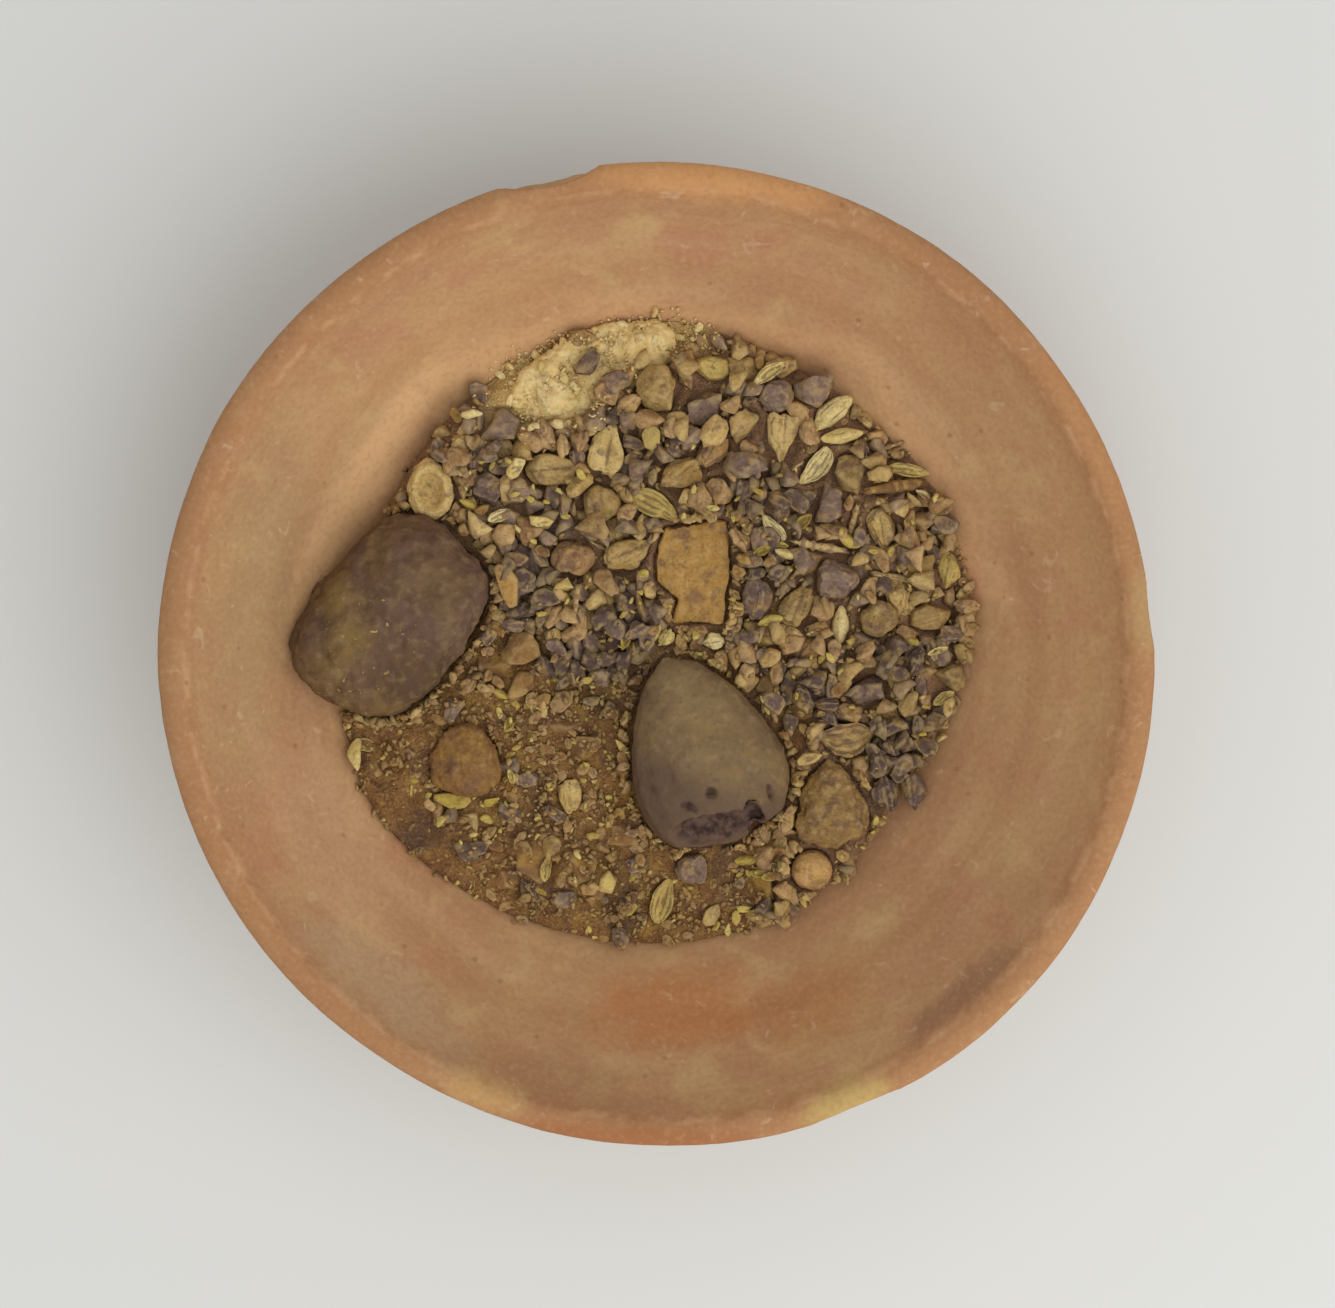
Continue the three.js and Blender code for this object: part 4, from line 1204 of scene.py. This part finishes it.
        # Relief of the piece's skin, for its worn edges, painted highlight and painted shade
        points, faces, relief_for_wear_and_painted_light = variant(shape, int(rng.integers(VARIANT_COUNT)), level)
        tip = Matrix.Rotation(rng.normal(0, lean), 3, Vector((*rng.normal(size=2), 0)).normalized())
        pose = np.array(Matrix.Rotation(turn, 3, "Z") @ tip)
        points = (points * sizes) @ pose.T + at
        shade = self.dark[self.cell(*at[:2])]
        if shade > 0.5 and paint in DARKENED:
            paint = DARK
        paler = (LEFT_PALER if at[0] < HEAP_X else RIGHT_PALER) if at[1] > HEAP_Y else 0
        tint = rng.uniform(*TINT_RANGE) + paler - DARKER * shade
        self.made.setdefault(paint, []).append((points, faces, tint, relief_for_wear_and_painted_light))

    def put_cad_seeds(self, rng):
        """Puts a seed or a clod wherever the CAD bed rises in one."""
        rows = math.ceil(HEAP_RADIUS / LOOSE_SPACING / math.sqrt(0.75))
        for row, column in itertools.product(range(-rows, rows + 1), repeat=2):
            x, y, sizes, turn, sorts = loose_place(row, column)
            if math.hypot(x - HEAP_X, y - HEAP_Y) > LOOSE_REACH * HEAP_RADIUS:
                continue
            rise = self.cad_rise[self.cell(x, y)]
            i, j, _ = self.window(x, y, sizes, turn)
            if rise < RISE_SHARE * sizes[2] or self.blocked[i, j].any():
                continue
            shape, *_, paints = pick(rng, sorts)
            if self.meal[self.cell(x, y)] > 0.5:
                paints = ("meal",)
            z = heap_top(x, y) + rise + SEED_PROUD - sizes[2] / 2
            sizes[2] *= THIN.get(shape, 1)
            paint = paints[rng.integers(len(paints))]
            self.put(rng, shape, sizes, (x, y, z), turn, paint, SEED_LEAN, SEED_LEVEL)


# Each shape is made a few times over, from random numbers of its own
VARIANT_COUNT = 9
VARIANT_START = 100
VARIANT_SIZES = (1, 0.75, 0.5)
VARIANTS = {}


def variant(shape, number, level):
    key = (shape, number, level)
    if key not in VARIANTS:
        points, faces = MAKERS[shape](VARIANT_START + number, level)
        VARIANTS[key] = points, faces, relief(points * VARIANT_SIZES, faces)
    return VARIANTS[key]


def build_bed(heap):
    points, faces = fine_mesh("crumb_bed", BED_VOXEL, 2, heap_top)
    facing = normals_of(points, faces)
    i = np.clip(((points[:, 0] - HEAP_X + REACH) / CELL).astype(int), 0, COUNT - 1)
    j = np.clip(((points[:, 1] - HEAP_Y + REACH) / CELL).astype(int), 0, COUNT - 1)
    upward = smoothstep(0.3, 0.7, facing[:, 2])
    calm = np.clip(heap.raise_by[i, j] / BED_RAISE_CRUMBS, 0.15, 1)
    swell = 0.6 * noise(points, 5, 30) + 0.35 * noise(points, 2.4, 31)
    swell += 0.35 * grains(points, 1.3, 32) * (0.7 + 0.6 * noise(points, 4, 33))
    swell += 0.12 * rough(points, 1.1, 34)
    points[:, 2] += upward * (heap.raise_by[i, j] + calm * swell)
    above = np.maximum(points[:, 2] - bowl_height(np.hypot(points[:, 0], points[:, 1])), 0)
    points[:, 2] -= heap.thin[i, j] * above
    marks = {"seedy": heap.seedy[i, j], "mealy": heap.meal[i, j], "shade": heap.dark[i, j]}
    add_fine("crumb_bed", points, faces, marks, bed_paint())


# Sorts of loose piece: shape, chance, long from and to, width and thickness as shares of length, paints
SEED_SORTS = [
    ("chunk", 0.38, 4.6, 7.8, 0.76, 0.46, (DARK, DARK, OLIVE, OLIVE, BROWN)),
    ("berry", 0.05, 4.6, 6.4, 0.92, 0.66, (DARK, OLIVE, BROWN)),
    ("kernel", 0.24, 5, 8.4, 0.62, 0.42, (OLIVE, BROWN, TAN, DARK)),
    ("flake", 0.26, 4.4, 7.6, 0.66, 0.3, (TAN, OLIVE, BROWN, DARK)),
    ("husk", 0.06, 5, 8, 0.46, 0.3, (HUSK, TAN)),
    ("straw", 0.02, 6, 9, 0.17, 0.15, ("straw",)),
]
BIT_SORTS = [
    ("chunk", 0.5, 2.6, 5, 0.78, 0.55, (DARK, DARK, OLIVE, BROWN, BROWN)),
    ("flake", 0.3, 2.8, 5.4, 0.62, 0.3, (DARK, OLIVE, BROWN, BROWN)),
    ("kernel", 0.13, 3, 5, 0.6, 0.5, (OLIVE, BROWN, DARK)),
    ("husk", 0.03, 2.4, 4.4, 0.46, 0.3, (HUSK, "yellow")),
    ("straw", 0.03, 3, 6, 0.2, 0.18, ("straw",)),
]
CRUMB_SORTS = [
    ("crumb", 0.82, 0.5, 1.5, 0.8, 0.42, ("crumbs",)),
    ("flake", 0.1, 1.4, 3, 0.65, 0.3, ("crumbs", "crumbs", BROWN)),
    ("husk", 0.01, 2, 3.6, 0.42, 0.3, ("yellow", HUSK)),
    ("crumb", 0.06, 0.5, 1.4, 0.8, 0.6, ("yellow", TAN)),
]
SHARD_SORTS = [
    ("chunk", 0.6, 1.2, 2.6, 0.75, 0.6, (TAN, BROWN, OLIVE, "crumbs")),
    ("flake", 0.4, 1.4, 3, 0.6, 0.35, (OLIVE, BROWN, "crumbs")),
]
MEAL_SORTS = [
    ("crumb", 0.95, 0.4, 0.9, 0.8, 0.5, ("meal",)),
    ("flake", 0.05, 1.4, 2.6, 0.6, 0.3, ("meal", HUSK)),
]
FLECK_SORTS = [
    ("crumb", 0.6, 0.7, 1.6, 0.7, 0.5, ("yellow",)),
    ("flake", 0.4, 1.2, 2.8, 0.5, 0.3, ("yellow",)),
]
CLOD_SORTS = [
    ("chunk", 1, 5, 9, 0.8, 0.34, ("crumbs",)),
]
SEED_PROUD = 0.3  # how far a finished seed stands above the CAD's
SEED_LEAN = 0.24
TINT_RANGE = (0.1, 0.9)  # of loose pieces, from dark 0 to pale 1
LEFT_PALER = 0.28  # how much paler the upper left is
RIGHT_PALER = 0.14  # and the upper right
DARKER = 0.6  # and how much darker the dark areas are
THIN = {"flake": 0.55, "husk": 0.6}  # thickness of a thin seed as a share of the CAD's
# Layers of loose pieces under those that can be told apart: sorts, number, zone, places tried, lean
LOW_LAYERS = [
    (BIT_SORTS, 520, "seeds", 14, 0.4),
    (BIT_SORTS, 25, "crumbs", 4, 0.35),
    (SHARD_SORTS, 420, "beside", 4, 0.5),
]
# And over them
HIGH_LAYERS = [
    (CRUMB_SORTS, 1400, "crumbs", 2, 0.35),
    (CRUMB_SORTS, 350, "seeds", 8, 0.6),
    (CRUMB_SORTS, 90, "edge", 1, 0.6),
    (FLECK_SORTS, 100, "seeds", 2, 0.5),
    (FLECK_SORTS, 90, "crumbs", 2, 0.4),
    (MEAL_SORTS, 800, "meal", 2, 0.5),
]
# Loose pieces that can be told apart: place as shares of the heap's radius, shape, three sizes, turn, paint
SINGLES = [
    (0.375, 0.86, "husk", 6, 2.4, 1.8, 35, HUSK),
    (-0.57, 0.73, "kernel", 3.6, 1.9, 1.5, -5, HUSK),
    (-0.34, 0.77, "husk", 5, 1.6, 1.3, -62, HUSK),
    (-0.43, 0.56, "flake", 4, 2.4, 1.2, 50, HUSK),
    (-0.48, 0.41, "husk", 4.4, 2, 1.4, 20, HUSK),
    (-0.35, 0.39, "flake", 4.2, 1.8, 1, -5, HUSK),
    (-0.19, 0.37, "chunk", 5.6, 4.8, 3.4, 10, "tan_fruit"),
    (-0.455, 0.19, "flake", 7.6, 3.4, 1.4, 105, "bark"),
    (-0.28, 0.19, "chunk", 3.4, 2.4, 2, 0, HUSK),
    (-0.24, 0.14, "straw", 6, 1.6, 1.4, 85, "straw"),
    (0.3, 0.57, "chunk", 7.4, 4.4, 3, 5, DARK),
    (0.635, 0.32, "husk", 4, 2, 1.3, -30, "yellow"),
    (0.92, -0.03, "husk", 3.6, 1.1, 0.8, 20, HUSK),
    (0.51, -0.375, "flake", 4.6, 2, 1, 15, TAN),
    (0.95, -0.33, "crumb", 1.8, 1.7, 1.4, 0, HUSK),
    (-0.92, -0.335, "husk", 4, 2.2, 1.2, -10, HUSK),
    (-0.64, -0.52, "flake", 6.4, 2.8, 1.2, -8, "yellow"),
    (-0.51, -0.525, "crumb", 3, 2.6, 1.6, 30, "yellow"),
    (-0.34, -0.74, "husk", 4.4, 1.8, 1.3, 80, HUSK),
    (-0.14, -0.79, "flake", 4.2, 3, 1.2, 60, HUSK),
    (0.2, -0.9, "flake", 4.4, 2.6, 1.2, 50, TAN),
    (0.31, -0.72, "husk", 4, 1.8, 1.1, 5, "yellow"),
    (0, 0.66, "flake", 4.6, 3.2, 1.4, 80, HUSK),
    (-0.2, 0.887, "chunk", 5, 3.8, 2.6, 40, DARK),
    (-0.12, 0.83, "kernel", 5.4, 4, 3, 10, DARK),
    (-0.03, 0.9, "chunk", 4, 3, 2.2, 80, OLIVE),
    (0.61, 0.655, "husk", 7.4, 2.6, 1.6, 8, HUSK),
    (0.83, 0.545, "husk", 7, 2.2, 1.5, -10, HUSK),
    (0.2, 0.67, "kernel", 6, 4.4, 3, 60, TAN),
    (0.38, -0.05, "flake", 4, 3, 1.2, 30, TAN),
    (-0.42, -0.14, "chunk", 5.5, 4.5, 2, 20, "crumbs"),
]
SINGLE_LEAN = 0.12
SINGLE_LEVEL = 3
SIZE_STRAY = (0.85, 1.15)  # of a loose piece's width and thickness
COARSE_BELOW = 4  # length below which a loose piece has fewer faces
RANDOM_START = 7


def chance(row, column, use):
    """A number from 0 to 1 that looks random, as in the CAD."""
    wave = 43758.5453 * math.sin(12.9898 * row + 78.233 * column + 37.719 * use)
    return wave - math.floor(wave)


def loose_place(row, column):
    """Place, sizes, turn and sorts of the loose piece at a place on the CAD's grid of triangles."""
    stray = [2 * chance(row, column, use) - 1 for use in range(4)]
    x = LOOSE_SPACING * (column + math.fmod(row, 2) / 2 + LOOSE_STRAY * stray[1])
    y = LOOSE_SPACING * (row * math.sqrt(0.75) + LOOSE_STRAY * stray[2])
    border = SEEDS_STRAY * stray[3]
    seed = y / HEAP_RADIUS > SEEDS_ABOVE + border or x / HEAP_RADIUS > SEEDS_RIGHT + border
    grow = LOOSE_SMALLEST + (LOOSE_LARGEST - LOOSE_SMALLEST) * chance(row, column, 4)
    sizes = grow * np.array(LOOSE_SEED if seed else LOOSE_CLOD)
    turn = 2 * math.pi * chance(row, column, 5)
    return HEAP_X + x, HEAP_Y + y, sizes, turn, SEED_SORTS if seed else CLOD_SORTS


def lay_singles(heap, rng):
    for u, v, shape, long, wide, thick, turn, paint in SINGLES:
        spot = (HEAP_X + HEAP_RADIUS * u, HEAP_Y + HEAP_RADIUS * v)
        sizes = np.array([long, wide, thick])
        heap.lay(rng, shape, sizes, [spot], paint, SINGLE_LEAN, math.radians(turn), SINGLE_LEVEL)
        i, j, _ = heap.window(*spot, sizes, math.radians(turn))
        heap.kept[i, j] = True


def pick(rng, sorts):
    chances = np.array([s[1] for s in sorts])
    return sorts[rng.choice(len(sorts), p=chances / chances.sum())]


def lay_layers(heap, rng, layers):
    for sorts, count, zone, tries, lean in layers:
        for _ in range(count):
            shape, _, low, high, wide, thick, paints = pick(rng, sorts)
            long = rng.uniform(low, high)
            sizes = long * np.array([1, wide * rng.uniform(*SIZE_STRAY), thick * rng.uniform(*SIZE_STRAY)])
            level = 1 if shape == "crumb" else 2 if long < COARSE_BELOW else 3
            paint = paints[rng.integers(len(paints))]
            heap.lay(rng, shape, sizes, heap.spots(rng, zone, tries), paint, lean, level=level)


def build_loose(heap):
    rng = np.random.default_rng(RANDOM_START)
    heap.put_cad_seeds(rng)
    lay_layers(heap, rng, LOW_LAYERS)
    lay_singles(heap, rng)
    lay_layers(heap, rng, HIGH_LAYERS)
    for paint, pieces in heap.made.items():
        sizes = [len(points) for points, _, _, _ in pieces]
        starts = np.cumsum([0] + sizes)
        points = np.concatenate([piece[0] for piece in pieces])
        faces = np.concatenate([piece[1] + start for piece, start in zip(pieces, starts)])
        tint = np.repeat([piece[2] for piece in pieces], sizes)
        marks = {"tint": tint, "relief": np.concatenate([piece[3] for piece in pieces])}
        add_piece("loose_" + paint, points, faces, PAINTS[paint], "contents", ["crumb_bed"], marks)


heap = Heap()
build_bed(heap)
build_loose(heap)


# Studio
def add_floor():
    corners = FLOOR_HALF * np.array([[-1, -1, 0], [1, -1, 0], [1, 1, 0], [-1, 1, 0]], float)
    mesh = make_mesh("floor", corners, np.array([[0, 1, 2], [0, 2, 3]]), {})
    floor = new_object("floor", mesh)
    paint = Paint("pale_floor", roughness=0.9, specular=0.1)
    paint.base = colour(*FLOOR_TONE)
    mesh.materials.append(paint.done())


def add_lamp():
    data = bpy.data.lights.new("window", "AREA")
    data.shape = "DISK"
    data.size = LAMP_WIDTH * MM
    data.energy = LAMP_WATTS
    lamp = new_object("window", data)
    lamp.location = Vector(LAMP_AT) * MM
    lamp.rotation_euler = (-Vector(LAMP_AT)).to_track_quat("-Z", "Y").to_euler()


def add_camera():
    data = bpy.data.cameras.new("camera")
    data.sensor_width = SENSOR
    data.lens = SENSOR * CAMERA_HEIGHT / FIELD_WIDTH
    camera = new_object("camera", data)
    aim = Vector((AIM_X, AIM_Y, DISH_HEIGHT))
    side = math.radians(CAMERA_SIDE)
    lean = math.radians(CAMERA_LEAN)
    back = Vector((math.sin(lean) * math.cos(side), math.sin(lean) * math.sin(side), math.cos(lean)))
    right = Vector((0, 1, 0)).cross(back).normalized()
    up = back.cross(right)
    turn = Matrix((right, up, back)).transposed().to_4x4()
    camera.matrix_world = Matrix.Translation((aim + back * CAMERA_HEIGHT) * MM) @ turn
    bpy.context.scene.camera = camera


add_floor()
add_lamp()
add_camera()
scene = bpy.context.scene
scene.view_settings.view_transform = "Standard"
scene.world = bpy.data.worlds.new("studio")
scene.world.use_nodes = True
sky = scene.world.node_tree.nodes["Background"].inputs
sky["Color"].default_value = (1, 1, 1, 1)
sky["Strength"].default_value = SKY_STRENGTH
